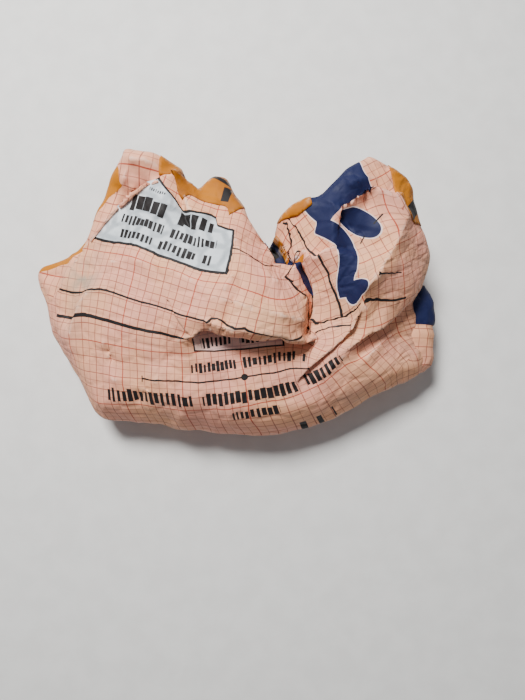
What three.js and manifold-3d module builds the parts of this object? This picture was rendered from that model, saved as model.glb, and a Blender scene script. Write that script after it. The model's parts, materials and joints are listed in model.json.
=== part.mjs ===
// An emptied paper sack of finishing plaster, crumpled and lying on its back: millimetres, +Z up.
// Its folded bottom end faces +Y, and is pushed in between its two corners, which stand up as horns.
// The tube of printed paper is one closed solid, and a glued cover sheet wraps its bottom end.
import * as THREE from "three";
import { mergeVertices } from "three/addons/utils/BufferGeometryUtils.js";
import Module from "manifold-3d";

const wasm = await Module();
wasm.setup();

// Driving dimensions
const LENGTH_X = 408; // across the sack, from side fold to side fold
const DEPTH_Y = 272; // from the rolled edge to the tips of the horns
const TOP_Z = 160; // above every fold
const GRID = 8; // spacing of the points that the upper face is meshed on
const DRAW_LIMIT = 0.3; // a fold draws a grid point onto itself by up to this share of the spacing
const MARGIN = 30; // how far the upper face's grid runs past the outline
const ROLL_REACH = 1.8; // the roll over the edge runs on past it for this much of its width
const SOLVER_SWEEPS = 900;
const SAMPLE_STEP = 2; // spacing of the points that fix the surface to a fold line
const WALL_LEVELS = [0, 0.12, 0.35, 0.65, 1]; // shares of the edge's height where the walls bend
const PAPER_GAP = 0.4; // clear space under the glued sheet
const SHEET_THICKNESS = 1.0; // the sheet's plies and glue
const SHEET_FOOT_Z = 12; // the glued sheet ends above the floor
const MERGE_DISTANCE = 1e-4; // points nearer than this are one point

// The sack's outline from above, anticlockwise from the left horn's tip.
// Each point gives its place, the edge's height there, how far the foot lies inside it,
// and how wide and how deep the upper face rolls over at it.
const OUTLINE = [
  { at: [-103, 134.8], edge: 108, foot: 34, roll: 8, drop: 4 }, // left horn
  { at: [-113, 125], edge: 101, foot: 34, roll: 7, drop: 5 },
  { at: [-127, 103], edge: 91, foot: 32, roll: 7, drop: 5 },
  { at: [-136, 86], edge: 83, foot: 28, roll: 7, drop: 5 },
  { at: [-148, 60], edge: 74, foot: 24, roll: 6, drop: 4 },
  { at: [-167, 44], edge: 66, foot: 22, roll: 5, drop: 3 },
  { at: [-188, 38], edge: 57, foot: 22, roll: 5, drop: 3 },
  { at: [-204, 31], edge: 50, foot: 24, roll: 7, drop: 5 }, // left corner
  { at: [-204, 22], edge: 48, foot: 24, roll: 10, drop: 8 },
  { at: [-200, 6], edge: 46, foot: 22, roll: 16, drop: 14 },
  { at: [-193, -27], edge: 44, foot: 22, roll: 24, drop: 22 },
  { at: [-175, -60], edge: 44, foot: 22, roll: 24, drop: 22 },
  { at: [-155, -96], edge: 44, foot: 22, roll: 22, drop: 20 },
  { at: [-147, -111], edge: 44, foot: 22, roll: 20, drop: 17 },
  { at: [-137, -119], edge: 44, foot: 22, roll: 22, drop: 18 },
  { at: [-97, -123], edge: 44, foot: 22, roll: 30, drop: 26 }, // rolled front edge
  { at: [-44, -130], edge: 46, foot: 22, roll: 34, drop: 30 },
  { at: [10, -136], edge: 46, foot: 22, roll: 34, drop: 30 },
  { at: [46, -132], edge: 46, foot: 22, roll: 32, drop: 28 },
  { at: [99, -118], edge: 46, foot: 22, roll: 28, drop: 24 },
  { at: [136, -96], edge: 46, foot: 22, roll: 26, drop: 20 },
  { at: [186, -72], edge: 46, foot: 24, roll: 16, drop: 12 },
  { at: [191, -57], edge: 48, foot: 26, roll: 14, drop: 10 }, // right corner
  { at: [187, -31], edge: 52, foot: 24, roll: 12, drop: 9 },
  { at: [177, 0], edge: 60, foot: 20, roll: 9, drop: 6 },
  { at: [190, 26], edge: 64, foot: 20, roll: 12, drop: 9 },
  { at: [195, 41], edge: 67, foot: 22, roll: 12, drop: 9 },
  { at: [195, 50], edge: 70, foot: 24, roll: 10, drop: 7 },
  { at: [178, 76], edge: 83, foot: 27, roll: 8, drop: 5 },
  { at: [171, 94], edge: 90, foot: 29, roll: 7, drop: 4 },
  { at: [171, 104], edge: 93, foot: 30, roll: 7, drop: 4 },
  { at: [163, 113], edge: 98, foot: 31, roll: 7, drop: 4 },
  { at: [150, 118], edge: 105, foot: 32, roll: 7, drop: 4 },
  { at: [134, 126], edge: 110, foot: 34, roll: 8, drop: 4 },
  { at: [124, 129], edge: 114, foot: 34, roll: 8, drop: 4 }, // right horn
  { at: [102, 116], edge: 117, foot: 28, roll: 8, drop: 5 },
  { at: [77, 93], edge: 110, foot: 16, roll: 7, drop: 4 },
  { at: [66, 89], edge: 107, foot: 12, roll: 6, drop: 4 },
  { at: [51, 84], edge: 102, foot: 8, roll: 6, drop: 4 },
  { at: [44, 76], edge: 97, foot: 4, roll: 5, drop: 3 },
  { at: [43.5, 62], edge: 88, foot: 1, roll: 4, drop: 3 },
  { at: [42, 55], edge: 72, foot: 0, roll: 3, drop: 1 }, // notch between the horns
  { at: [34, 51], edge: 70, foot: 0, roll: 3, drop: 1 },
  { at: [27, 53], edge: 90, foot: 1, roll: 3, drop: 2 },
  { at: [19, 64], edge: 97, foot: 4, roll: 5, drop: 3 },
  { at: [7, 82], edge: 96, foot: 8, roll: 6, drop: 4 },
  { at: [-5, 103], edge: 93, foot: 14, roll: 6, drop: 4 },
  { at: [-10, 116], edge: 88, foot: 18, roll: 5, drop: 4 },
  { at: [-22, 119], edge: 88, foot: 20, roll: 5, drop: 4 },
  { at: [-35, 103], edge: 92, foot: 20, roll: 5, drop: 3 },
  { at: [-52, 109], edge: 94, foot: 24, roll: 5, drop: 3 },
  { at: [-51, 121], edge: 96, foot: 26, roll: 5, drop: 3 },
  { at: [-66, 128], edge: 102, foot: 30, roll: 6, drop: 3 },
  { at: [-76, 132], edge: 107, foot: 32, roll: 7, drop: 3 },
];

// The middle of the sack's footprint, which the foot is drawn in towards.
const CORE_LEFT = -90;
const CORE_RIGHT = 100;
const CORE_Y = -10;

// The folds that the paper is stretched over: ridges and valleys as runs of [x, y, z].
// A fold whose paper laps over itself has its upper edge and, beside it, the paper under that.
const FOLDS = {
  bulgeCrown: [[-115, 31, 106], [-77, 28, 118], [-43, 14, 127], [-16, -1, 133], [15, -10, 134], [45, -14, 128],
    [62, -17, 110]],
  bulgeNorth: [[-2, 59, 114], [5, 37, 123], [18, 27, 121], [40, 12, 120]],
  bulgeCorner: [[54, 27, 98], [46, 17, 107], [40, 12, 120]],
  bulgeBrow: [[46, 17, 107], [57, 8, 106], [66, -1, 103], [69, -12, 97], [67, -27, 87]],
  leftHornRidge: [[-104, 130, 113], [-101, 118, 113], [-108, 103, 103]],
  leftHornPinch: [[-122, 96, 96], [-106, 101, 102], [-97, 101, 104]],
  leftHornCrown: [[-96, 124, 117], [-84, 123, 118], [-74, 120, 112]],
  faceEdge: [[-54, 112, 106], [-67, 110, 111], [-84, 104, 109], [-97, 98, 104], [-126, 74, 94], [-150, 49, 84]],
  underFaceEdge: [[-71, 115, 105], [-88, 109, 103], [-101, 102, 99], [-130, 78, 90], [-152, 54, 80]],
  labelRoll: [[-72, 104, 112], [-97, 93, 109], [-126, 69, 98], [-140, 54, 92]],
  labelValley: [[-52, 89, 104], [-42, 63, 106], [-30, 30, 121]],
  labelUpper: [[-60, 84, 114], [-72, 70, 114], [-90, 62, 110]],
  labelStep: [[-20, 76, 103], [-14, 55, 114], [-17, 40, 121]],
  northStrip: [[-34, 88, 101], [-14, 84, 101], [4, 76, 101]],
  streak: [[-19, -24, 123], [-7, 5, 133], [0, 14, 130]],
  shoulderValley: [[-143, 29, 86], [-158, -6, 81], [-166, -22, 74]],
  shoulderRidge: [[-112, 6, 103], [-136, 7, 97], [-153, -16, 90], [-160, -32, 82]],
  shoulderPinch: [[-77, -6, 114], [-97, -26, 104], [-122, -57, 85]],
  westEdge: [[-160, 40, 76], [-171, 18, 77], [-178, -10, 70]],
  westTip: [[-200, 29, 55], [-178, 27, 64]],
  lipTail: [[-66, -31, 113], [-56, -32, 116], [-49, -38, 113]],
  lip: [[-50, -39, 113], [-37, -41, 117], [-20, -36, 120], [9, -42, 120], [30, -43, 116], [46, -44, 110],
    [65, -46, 101], [76, -34, 90]],
  underLip: [[-46, -47, 101], [-36, -46, 100], [-21, -42, 100], [9, -48, 100], [30, -49, 97], [46, -50, 93],
    [65, -52, 87]],
  lipRoll: [[-37, -27, 122], [-16, -24, 128], [15, -28, 129], [45, -30, 122], [62, -32, 107]],
  apronRidge: [[-118, -78, 86], [-71, -92, 88], [-33, -93, 92], [9, -88, 93], [40, -82, 91]],
  apronFold: [[-32, -55, 102], [-29, -72, 98]],
  apronLeft: [[-60, -58, 98], [-75, -80, 94], [-95, -98, 74]],
  slitEdge: [[63, 31, 103], [71, 19, 101], [75, 8, 98], [76, -4, 95], [75, -15, 91]],
  underSlit: [[61, 22, 97], [68, 10, 92], [70, -3, 89], [68, -15, 85], [66, -27, 84]],
  centreSpine: [[86, 22, 108], [87, 8, 102], [92, -4, 99], [98, -14, 99]],
  centreLow: [[79, 12, 97], [81, -3, 94], [79, -16, 90]],
  panelBorder: [[82, -26, 91], [99, -20, 98], [114, -8, 109]],
  ledge: [[92, 42, 115], [81, 39, 115], [70, 37, 113], [58, 38, 104]],
  underLedge: [[84, 46, 105], [72, 43, 102], [62, 45, 95]],
  ramp: [[96, 34, 118], [116, 33, 116], [133, 36, 122]],
  pocket: [[102, 66, 112], [107, 60, 108], [114, 54, 108], [122, 53, 111]],
  pocketFloor: [[94, 41, 112], [104, 42, 109], [114, 43, 109], [131, 44, 114], [144, 45, 122]],
  pocketRise: [[121, 86, 121], [123, 76, 115], [131, 66, 116], [142, 56, 121]],
  longRidge: [[161, 72, 112], [153, 57, 119], [147, 45, 124], [137, 29, 128], [122, 8, 128], [117, -1, 119]],
  hornBrow: [[123, 88, 126], [142, 82, 121], [161, 72, 112]],
  rightHornCrown: [[70, 80, 112], [82, 84, 119], [90, 80, 124], [90, 59, 120], [89, 44, 115]],
  flapEdge: [[152, 89, 114], [135, 93, 124], [118, 91, 128], [97, 75, 124]],
  underFlap: [[150, 95, 104], [136, 98, 111], [116, 96, 114], [100, 86, 113]],
  flapCrown: [[104, 98, 125], [118, 104, 124], [130, 106, 118]],
  orangeEdge: [[147, 95, 110], [141, 118, 108]],
  orangeFold: [[163, 108, 98], [158, 96, 102], [160, 84, 103]],
  rightFacet: [[183, 38, 80], [160, 20, 96], [142, 1, 102], [128, -12, 103]],
  facetTop: [[159, 62, 112], [170, 66, 98], [179, 68, 87]],
  ribbon: [[69, -67, 92], [94, -48, 98], [108, -26, 103], [117, -9, 110]],
  upperLobeEdge: [[30, -124, 76], [40, -112, 78], [51, -96, 82], [61, -88, 85], [84, -70, 94], [106, -48, 98],
    [141, -29, 94], [170, -1, 82]],
  underLobe: [[65, -92, 82], [88, -75, 86], [110, -54, 85], [144, -35, 76], [174, -7, 64]],
  lowerLobeCrest: [[166, -22, 72], [150, -36, 82], [130, -52, 86], [112, -72, 86], [101, -90, 78], [97, -106, 66]],
  lobeDimple: [[80, -75, 90], [86, -85, 81], [93, -96, 73]],
  lobeCorner: [[176, -12, 64], [178, -28, 62], [180, -46, 58]],
  throatWest: [[27, 53, 95], [36, 37, 99], [47, 30, 95], [55, 28, 94]],
  throatFoot: [[37, 50, 60], [42, 43, 64], [49, 37, 74]],
  throatEast: [[45, 53, 90], [49, 45, 92], [56, 31, 91]],
};

// The fold of the sack's side that bulges out from under the lower right lobe.
// Each station gives the place of its outermost edge, and that edge's height.
const SIDE_FOLD = [[180, 19, 50], [195, 19, 45], [203, 2, 44], [204, -20, 43], [204, -46, 41], [199, -64, 39],
  [184, -73, 38]];
const SIDE_FOLD_INNER_X = 168;
const SIDE_FOLD_HALF_HEIGHT = 17;
const SIDE_FOLD_TURNS = 6;
const SIDE_FOLD_TAPER = [0.5, 0.85, 1, 1, 1, 0.8, 0.4]; // share of the half height at each station

// The bottom end's cover sheet lies north of this line, on the upper face and down the end wall.
const SHEET_BORDER = [
  [-150, 70], [-120, 96], [-98, 119], [-72, 112], [-60, 104], [-48, 86], [-22, 84], [0, 72],
  [22, 40], [48, 24], [58, 46], [60, 78], [90, 98], [122, 118], [150, 104], [164, 80], [200, 70],
];
const BEYOND = 170; // the sheet's clipping block reaches this far past the horns

// How far p lies from the segment from a to b, and the share of the segment at its nearest point.
function toSegment(p, a, b) {
  const [dx, dy] = [b[0] - a[0], b[1] - a[1]];
  const along = ((p[0] - a[0]) * dx + (p[1] - a[1]) * dy) / (dx * dx + dy * dy);
  const share = Math.min(1, Math.max(0, along));
  return { distance: Math.hypot(p[0] - a[0] - share * dx, p[1] - a[1] - share * dy), share };
}

// Whether p lies inside a closed ring of points.
function isInside(p, ring) {
  let inside = false;
  ring.forEach((a, i) => {
    const b = ring[(i + 1) % ring.length];
    const crosses = a[1] > p[1] !== b[1] > p[1];
    if (crosses && p[0] < a[0] + ((p[1] - a[1]) / (b[1] - a[1])) * (b[0] - a[0])) inside = !inside;
  });
  return inside;
}

const RING = OUTLINE.map((point) => point.at);

// How far the upper face rolls down at p, from the nearest stretch of the outline.
function rollAt(p) {
  const stretches = OUTLINE.map((from, i) => {
    const to = OUTLINE[(i + 1) % OUTLINE.length];
    return { from, to, ...toSegment(p, from.at, to.at) };
  });
  const { from, to, distance, share } = stretches.reduce((a, b) => (b.distance < a.distance ? b : a));
  const roll = THREE.MathUtils.lerp(from.roll, to.roll, share);
  const drop = THREE.MathUtils.lerp(from.drop, to.drop, share);
  const depth = distance * (isInside(p, RING) ? 1 : -1);
  const inward = Math.min(ROLL_REACH, Math.max(0, 1 - depth / roll));
  return drop * inward * inward;
}

// Points every SAMPLE_STEP along a run of [x, y, z] points.
function samplesAlong(run) {
  const samples = [];
  for (let i = 0; i + 1 < run.length; i++) {
    const from = new THREE.Vector3(...run[i]);
    const to = new THREE.Vector3(...run[i + 1]);
    const steps = Math.ceil(from.distanceTo(to) / SAMPLE_STEP);
    for (let k = 0; k <= steps; k++) samples.push(from.clone().lerp(to, k / steps));
  }
  return samples;
}

// The grid that the upper face is meshed on.
const COLUMNS = Math.round((LENGTH_X + 2 * MARGIN) / GRID) + 1;
const ROWS = Math.round((DEPTH_Y + 2 * MARGIN) / GRID) + 1;
const WEST = (-(COLUMNS - 1) * GRID) / 2;
const SOUTH = (-(ROWS - 1) * GRID) / 2;

const gridPlace = (index) => [WEST + (index % COLUMNS) * GRID, SOUTH + Math.floor(index / COLUMNS) * GRID];
const nodeNear = (p) => Math.round((p.y - SOUTH) / GRID) * COLUMNS + Math.round((p.x - WEST) / GRID);

// The mean of the samples along some runs at each grid point that the runs pass.
function meansAt(runs) {
  const gathered = new Map();
  for (const run of runs)
    for (const p of samplesAlong(run)) {
      const index = nodeNear(p);
      if (!gathered.has(index)) gathered.set(index, { sum: new THREE.Vector3(), count: 0 });
      gathered.get(index).sum.add(p);
      gathered.get(index).count += 1;
    }
  return new Map([...gathered].map(([index, { sum, count }]) => [index, sum.divideScalar(count)]));
}

// The upper face: paper stretched over its folds and its edge, then rolled over at the edge.
function relaxUpperFace() {
  const edge = OUTLINE.map(({ at, edge: z, drop }) => [...at, z + drop]);
  const folds = meansAt(Object.values(FOLDS));
  const fixed = new Map([...meansAt([[...edge, edge[0]]]), ...folds]);
  const levels = [...fixed.values()].map((p) => p.z);
  const mean = levels.reduce((a, b) => a + b) / levels.length;
  const heights = Array.from({ length: COLUMNS * ROWS }, (_, index) => fixed.get(index)?.z ?? mean);
  const around = (index) => {
    const [r, c] = [Math.floor(index / COLUMNS), index % COLUMNS];
    const left = heights[r * COLUMNS + Math.max(0, c - 1)];
    const right = heights[r * COLUMNS + Math.min(COLUMNS - 1, c + 1)];
    const below = heights[Math.max(0, r - 1) * COLUMNS + c];
    const above = heights[Math.min(ROWS - 1, r + 1) * COLUMNS + c];
    return (left + right + below + above) / 4;
  };
  for (let sweep = 0; sweep < SOLVER_SWEEPS; sweep++)
    heights.forEach((_, index) => {
      if (!fixed.has(index)) heights[index] = around(index);
    });
  return heights.map((z, index) => {
    const [x, y] = gridPlace(index);
    const fold = folds.get(index);
    const draw = (from, to) => from + THREE.MathUtils.clamp(to - from, -DRAW_LIMIT * GRID, DRAW_LIMIT * GRID);
    const at = fold ? [draw(x, fold.x), draw(y, fold.y)] : [x, y];
    return [...at, z - rollAt(at)];
  });
}

// A closed solid from a geometry, once its shared points are merged.
function solidOf(geometry) {
  geometry.deleteAttribute("normal");
  geometry.deleteAttribute("uv");
  const merged = mergeVertices(geometry, MERGE_DISTANCE);
  return new wasm.Manifold(
    new wasm.Mesh({
      numProp: 3,
      vertProperties: merged.attributes.position.array,
      triVerts: new Uint32Array(merged.index.array),
    }),
  );
}

// A closed solid from a list of points and triangles.
function solidFrom(points, triangles) {
  const geometry = new THREE.BufferGeometry();
  geometry.setAttribute("position", new THREE.Float32BufferAttribute(points.flat(), 3));
  geometry.setIndex(triangles.flat());
  return solidOf(geometry);
}

// Everything under the upper face, as a block with a flat base.
function blockUnder(face, lift) {
  const points = face.map(([x, y, z]) => [x, y, z + lift]);
  const base = points.length;
  face.forEach(([x, y]) => points.push([x, y, 0]));
  const triangles = [];
  for (let r = 0; r + 1 < ROWS; r++)
    for (let c = 0; c + 1 < COLUMNS; c++) {
      const [a, b] = [r * COLUMNS + c, r * COLUMNS + c + 1];
      const [d, e] = [a + COLUMNS, b + COLUMNS];
      triangles.push([a, b, e], [a, e, d]);
      triangles.push([base + a, base + e, base + b], [base + a, base + d, base + e]);
    }
  const rim = [];
  for (let c = 0; c + 1 < COLUMNS; c++) rim.push(c);
  for (let r = 0; r + 1 < ROWS; r++) rim.push(r * COLUMNS + COLUMNS - 1);
  for (let c = COLUMNS - 1; c > 0; c--) rim.push((ROWS - 1) * COLUMNS + c);
  for (let r = ROWS - 1; r > 0; r--) rim.push(r * COLUMNS);
  rim.forEach((a, i) => {
    const b = rim[(i + 1) % rim.length];
    triangles.push([a, base + a, base + b], [a, base + b, b]);
  });
  return solidFrom(points, triangles);
}

// The outline moved outwards by some distance.
function grownRing(distance) {
  return RING.map((p, i) => {
    const before = RING[(i + RING.length - 1) % RING.length];
    const after = RING[(i + 1) % RING.length];
    const along = new THREE.Vector2(after[0] - before[0], after[1] - before[1]).normalize();
    return [p[0] + along.y * distance, p[1] - along.x * distance];
  });
}

// The sack's side walls: they swell out from the foot on the floor to the outline, and stand upright above.
function wallsAround(distance) {
  const shares = WALL_LEVELS;
  const ring = grownRing(distance);
  const count = ring.length;
  const points = [];
  for (const share of shares)
    ring.forEach(([x, y], i) => {
      const coreX = Math.min(CORE_RIGHT, Math.max(CORE_LEFT, x));
      const inward = new THREE.Vector2(coreX - x, CORE_Y - y).normalize();
      const swell = Math.sqrt(1 - (1 - share) ** 2);
      const inset = OUTLINE[i].foot * (1 - swell);
      points.push([x + inward.x * inset, y + inward.y * inset, share * OUTLINE[i].edge]);
    });
  ring.forEach(([x, y]) => points.push([x, y, TOP_Z]));
  const triangles = [];
  for (let k = 0; k < shares.length; k++)
    for (let i = 0; i < count; i++) {
      const j = (i + 1) % count;
      const [a, b, c, d] = [k * count + i, k * count + j, (k + 1) * count + i, (k + 1) * count + j];
      triangles.push([a, b, d], [a, d, c]);
    }
  const cap = (start, flip) => {
    const loop = points.slice(start, start + count).map(([x, y]) => new THREE.Vector2(x, y));
    for (const [a, b, c] of THREE.ShapeUtils.triangulateShape(loop, []))
      triangles.push(flip ? [start + a, start + c, start + b] : [start + a, start + b, start + c]);
  };
  cap(0, true);
  cap(shares.length * count, false);
  return solidFrom(points, triangles);
}

// The sack's outer shape, grown by some distance all round.
function sackShape(face, distance) {
  return blockUnder(face, distance).intersect(wallsAround(distance));
}

// The bulging fold of the side: round from its top to its underside, and flat where it meets the sack.
function sideFold() {
  const points = SIDE_FOLD.flatMap(([x, y, z], i) =>
    Array.from({ length: SIDE_FOLD_TURNS + 1 }, (_, k) => {
      const turn = (k / SIDE_FOLD_TURNS) * Math.PI;
      const out = Math.sin(turn) * (x - SIDE_FOLD_INNER_X);
      const rise = SIDE_FOLD_HALF_HEIGHT * SIDE_FOLD_TAPER[i] * Math.cos(turn);
      return [SIDE_FOLD_INNER_X + out, y, z + rise];
    }),
  );
  const count = SIDE_FOLD_TURNS + 1;
  const triangles = [];
  for (let i = 0; i + 1 < SIDE_FOLD.length; i++)
    for (let k = 0; k < count; k++) {
      const [a, b] = [i * count + k, i * count + ((k + 1) % count)];
      triangles.push([a, b + count, b], [a, a + count, b + count]);
    }
  const last = (SIDE_FOLD.length - 1) * count;
  for (let k = 1; k + 1 < count; k++) triangles.push([0, k, k + 1], [last, last + k + 1, last + k]);
  return solidFrom(points, triangles);
}

// A block that holds what lies north of the cover sheet's border, from the sheet's foot up.
function sheetRegion() {
  const shape = new THREE.Shape(SHEET_BORDER.map(([x, y]) => new THREE.Vector2(x, y)));
  shape.lineTo(SHEET_BORDER.at(-1)[0] + BEYOND, BEYOND);
  shape.lineTo(SHEET_BORDER[0][0] - BEYOND, BEYOND);
  const block = new THREE.ExtrudeGeometry(shape, { depth: TOP_Z, bevelEnabled: false });
  block.translate(0, 0, SHEET_FOOT_Z);
  return solidOf(block);
}

// A named mesh from a solid.
function meshOf(name, solid, material) {
  const { vertProperties, triVerts } = solid.getMesh();
  const geometry = new THREE.BufferGeometry();
  geometry.setAttribute("position", new THREE.BufferAttribute(vertProperties, 3));
  geometry.setIndex(new THREE.BufferAttribute(triVerts, 1));
  const faceted = geometry.toNonIndexed();
  faceted.computeVertexNormals();
  const mesh = new THREE.Mesh(faceted, material);
  mesh.name = name;
  return mesh;
}

const printedPaper = new THREE.MeshStandardMaterial({ color: 0xe0b59c, roughness: 0.7, metalness: 0 });
const orangePaper = new THREE.MeshStandardMaterial({ color: 0xcf8a2c, roughness: 0.65, metalness: 0 });

const upperFace = relaxUpperFace();
const tube = sackShape(upperFace, 0).add(sideFold());
const shell = sackShape(upperFace, PAPER_GAP + SHEET_THICKNESS).subtract(sackShape(upperFace, PAPER_GAP));
const coverSheet = shell.intersect(sheetRegion());

const sack = new THREE.Group();
sack.add(meshOf("paper_tube", tube, printedPaper));
sack.add(meshOf("bottom_cover_sheet", coverSheet, orangePaper));

export default sack;
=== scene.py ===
import sys

# Looks for an emptied, crumpled paper sack of finishing plaster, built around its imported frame.
# Lengths and places are millimetres in the frame's axes, and meshes are metres.
import json
import logging
import math
from collections.abc import Iterable, Sequence
from dataclasses import dataclass, field
from enum import Enum

import bpy
import numpy as np
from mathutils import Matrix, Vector, geometry, kdtree

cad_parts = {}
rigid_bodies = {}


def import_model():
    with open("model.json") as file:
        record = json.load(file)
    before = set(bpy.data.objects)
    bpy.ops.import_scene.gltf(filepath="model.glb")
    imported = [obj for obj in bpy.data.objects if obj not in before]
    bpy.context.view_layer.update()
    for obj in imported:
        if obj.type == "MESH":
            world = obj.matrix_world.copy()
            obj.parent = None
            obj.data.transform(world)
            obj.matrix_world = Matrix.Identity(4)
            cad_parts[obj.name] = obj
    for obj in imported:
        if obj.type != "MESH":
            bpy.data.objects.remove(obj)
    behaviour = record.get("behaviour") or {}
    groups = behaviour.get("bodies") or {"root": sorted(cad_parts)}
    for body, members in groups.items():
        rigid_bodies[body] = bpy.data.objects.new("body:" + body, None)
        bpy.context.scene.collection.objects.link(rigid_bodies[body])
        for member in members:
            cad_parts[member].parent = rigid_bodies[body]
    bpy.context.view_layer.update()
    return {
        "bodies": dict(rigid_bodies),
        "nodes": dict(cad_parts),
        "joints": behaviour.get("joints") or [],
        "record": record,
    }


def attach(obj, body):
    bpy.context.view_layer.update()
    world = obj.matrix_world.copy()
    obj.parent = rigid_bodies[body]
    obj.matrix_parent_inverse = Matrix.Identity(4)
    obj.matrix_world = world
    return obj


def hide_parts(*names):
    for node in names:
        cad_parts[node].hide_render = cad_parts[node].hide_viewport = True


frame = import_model()

Array = np.ndarray
Colour = tuple[float, float, float]
Place = tuple[float, float]
Point = tuple[float, float, float]
Places = tuple[Place, ...]
Points = tuple[Point, ...]

MM = 0.001
PRINT_MAP = "print"
TINY = 1e-9
MERGE_WITHIN = 1e-4
FAR = 1000.0
UNDERSIDE_PRINT = (0.0, -FAR)
log = logging.getLogger("sack")


def ease(share: Array | float) -> Array:
    """Returns share clamped to 0..1, with soft ends."""
    share = np.clip(share, 0.0, 1.0)
    return share * share * (3.0 - 2.0 * share)


def unit(vectors: Array) -> Array:
    """Returns vectors along the last axis, at length 1."""
    return vectors / np.maximum(np.linalg.norm(vectors, axis=-1, keepdims=True), TINY)


def within(places: Array, ring: Array) -> Array:
    """Tests places against a closed ring.

    Args:
        places: N x 2 plan places.
        ring: M x 2 places, joined in order.

    Returns:
        N truth values, true for the places inside.
    """
    inside = np.zeros(len(places), bool)
    for (x, y), (next_x, next_y) in zip(ring, np.roll(ring, -1, axis=0)):
        if y == next_y:
            continue
        spans = (places[:, 1] < y) != (places[:, 1] < next_y)
        inside ^= spans & (places[:, 0] < x + (places[:, 1] - y) / (next_y - y) * (next_x - x))
    return inside


class Run:
    """A run of straight stretches through points in plan, with its heights."""

    def __init__(self, points: Sequence[Sequence[float]], closed: bool = False) -> None:
        """Keeps the points.

        Args:
            points: rows that start with x and y.
            closed: whether the last point joins the first.
        """
        kept = [tuple(point) for point in points]
        self.points = np.array(kept + kept[:1] if closed else kept, float)
        self.closed = closed

    def _travelled(self) -> tuple[Array, Array]:
        """Returns each stretch's length, and how far along the run each point lies."""
        gaps = np.linalg.norm(np.diff(self.points[:, :2], axis=0), axis=1)
        return gaps, np.concatenate([[0.0], np.cumsum(gaps)])

    def resampled(self, step: float) -> Array:
        """Spreads points evenly along the run.

        Args:
            step: about how far apart they lie.

        Returns:
            The new points, with the old ones' columns.
        """
        _, travelled = self._travelled()
        count = max(2, round(travelled[-1] / step) + 1)
        stops = np.linspace(0.0, travelled[-1], count)
        columns = [np.interp(stops, travelled, column) for column in self.points.T]
        spread = np.stack(columns, axis=1)
        return spread[:-1] if self.closed else spread

    def nearest(self, places: Array) -> tuple[Array, Array]:
        """Measures places against the run.

        Args:
            places: N x 2 plan places.

        Returns:
            How far each lies to the left, less than 0 on the right, and the share of the run at its
            nearest point.
        """
        gaps, travelled = self._travelled()
        best = np.full(len(places), np.inf)
        side, share = np.zeros(len(places)), np.zeros(len(places))
        for start, end, gap, before in zip(self.points, self.points[1:], gaps, travelled):
            along = (end[:2] - start[:2]) / gap
            offset = places - start[:2]
            reach = np.clip(offset @ along, 0.0, gap)
            distance = np.linalg.norm(offset - reach[:, None] * along, axis=1)
            nearer = distance < best
            left = np.sign(along[0] * offset[:, 1] - along[1] * offset[:, 0])
            best[nearer] = distance[nearer]
            side[nearer] = left[nearer]
            share[nearer] = (before + reach[nearer]) / travelled[-1]
        return best * side, share


@dataclass(frozen=True)
class Tuck:
    """A fold where the paper laps over itself, its lower layer on the right of its points.

    The edge is pulled over the lower layer by reach, which lies drop below it. The pull fades behind
    the edge, grows over the share start of its length and dies away over the share end. The band
    between the layers is hidden where the pull is more than least_pull, and bend is how far along the
    edge its direction is softened.
    """

    name: str
    edge: Points
    reach: float
    drop: float
    fade: float = 26.0
    start: float = 0.18
    end: float = 0.18
    band: float = 4.5
    bend: float = 14.0
    step: float = 2.0
    least_pull: float = 0.5

    def pull(self, share: Array) -> Array:
        """Works out how far the edge is pulled over the lower layer.

        Args:
            share: shares of the edge's length.

        Returns:
            The pull at each.
        """
        rise = ease(share / self.start) if self.start else 1.0
        fall = ease((1.0 - share) / self.end) if self.end else 1.0
        return self.reach * np.minimum(rise, fall)

    def _ways(self) -> tuple[Array, Array]:
        """Works out which way the edge is pulled.

        Returns:
            Points along the edge, and the softened direction to the right of each.
        """
        edge = Run(self.edge).resampled(self.step)
        along = unit(np.gradient(edge[:, :2], axis=0))
        right = np.stack([along[:, 1], -along[:, 0]], axis=1)
        apart = np.subtract.outer(np.arange(len(edge)), np.arange(len(edge))) * self.step / self.bend
        return edge, unit(np.exp(-(apart**2)) @ right)

    def lines(self) -> tuple[Array, Array]:
        """Works out where the fold's two creases lie on the sheet before it is lapped.

        Returns:
            The crest and the valley under it, as points with heights.
        """
        edge, right = self._ways()
        share = np.linspace(0.0, 1.0, len(edge))
        pull = self.pull(share)[:, None]
        crest, valley = edge.copy(), edge.copy()
        crest[:, :2] -= right * pull
        valley[:, :2] -= right * (pull - self.band)
        valley[:, 2] -= self.drop * pull[:, 0] / self.reach
        return crest, valley

    def shift(self, places: Array) -> tuple[Array, Array]:
        """Laps the paper over.

        Args:
            places: N x 2 plan places on the sheet before it is lapped.

        Returns:
            How far each place moves, and how deep it is in the hidden layer, from 0 to 1.
        """
        crest, _ = self.lines()
        left, share = Run(crest).nearest(places)
        ways = self._ways()[1]
        shares = np.linspace(0.0, 1.0, len(ways))
        right = np.stack([np.interp(share, shares, ways[:, axis]) for axis in range(2)], axis=1)
        above = np.exp(-((np.maximum(left, 0.0) / self.fade) ** 2))
        below = 1.0 - ease(-left / self.band)
        pull = self.pull(share)
        hidden = np.where(left < 0.0, below, 0.0) * (pull > self.least_pull)
        return right * (pull * np.where(left >= 0.0, above, below))[:, None], hidden


@dataclass(frozen=True)
class RimPoint:
    """A place on the sack's outline from above, where its upper face turns down its side.

    The face turns down by drop, within roll of the outline, and the side draws in by foot.
    """

    x: float
    y: float
    z: float
    foot: float = 22.0
    roll: float = 20.0
    drop: float = 14.0


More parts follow.
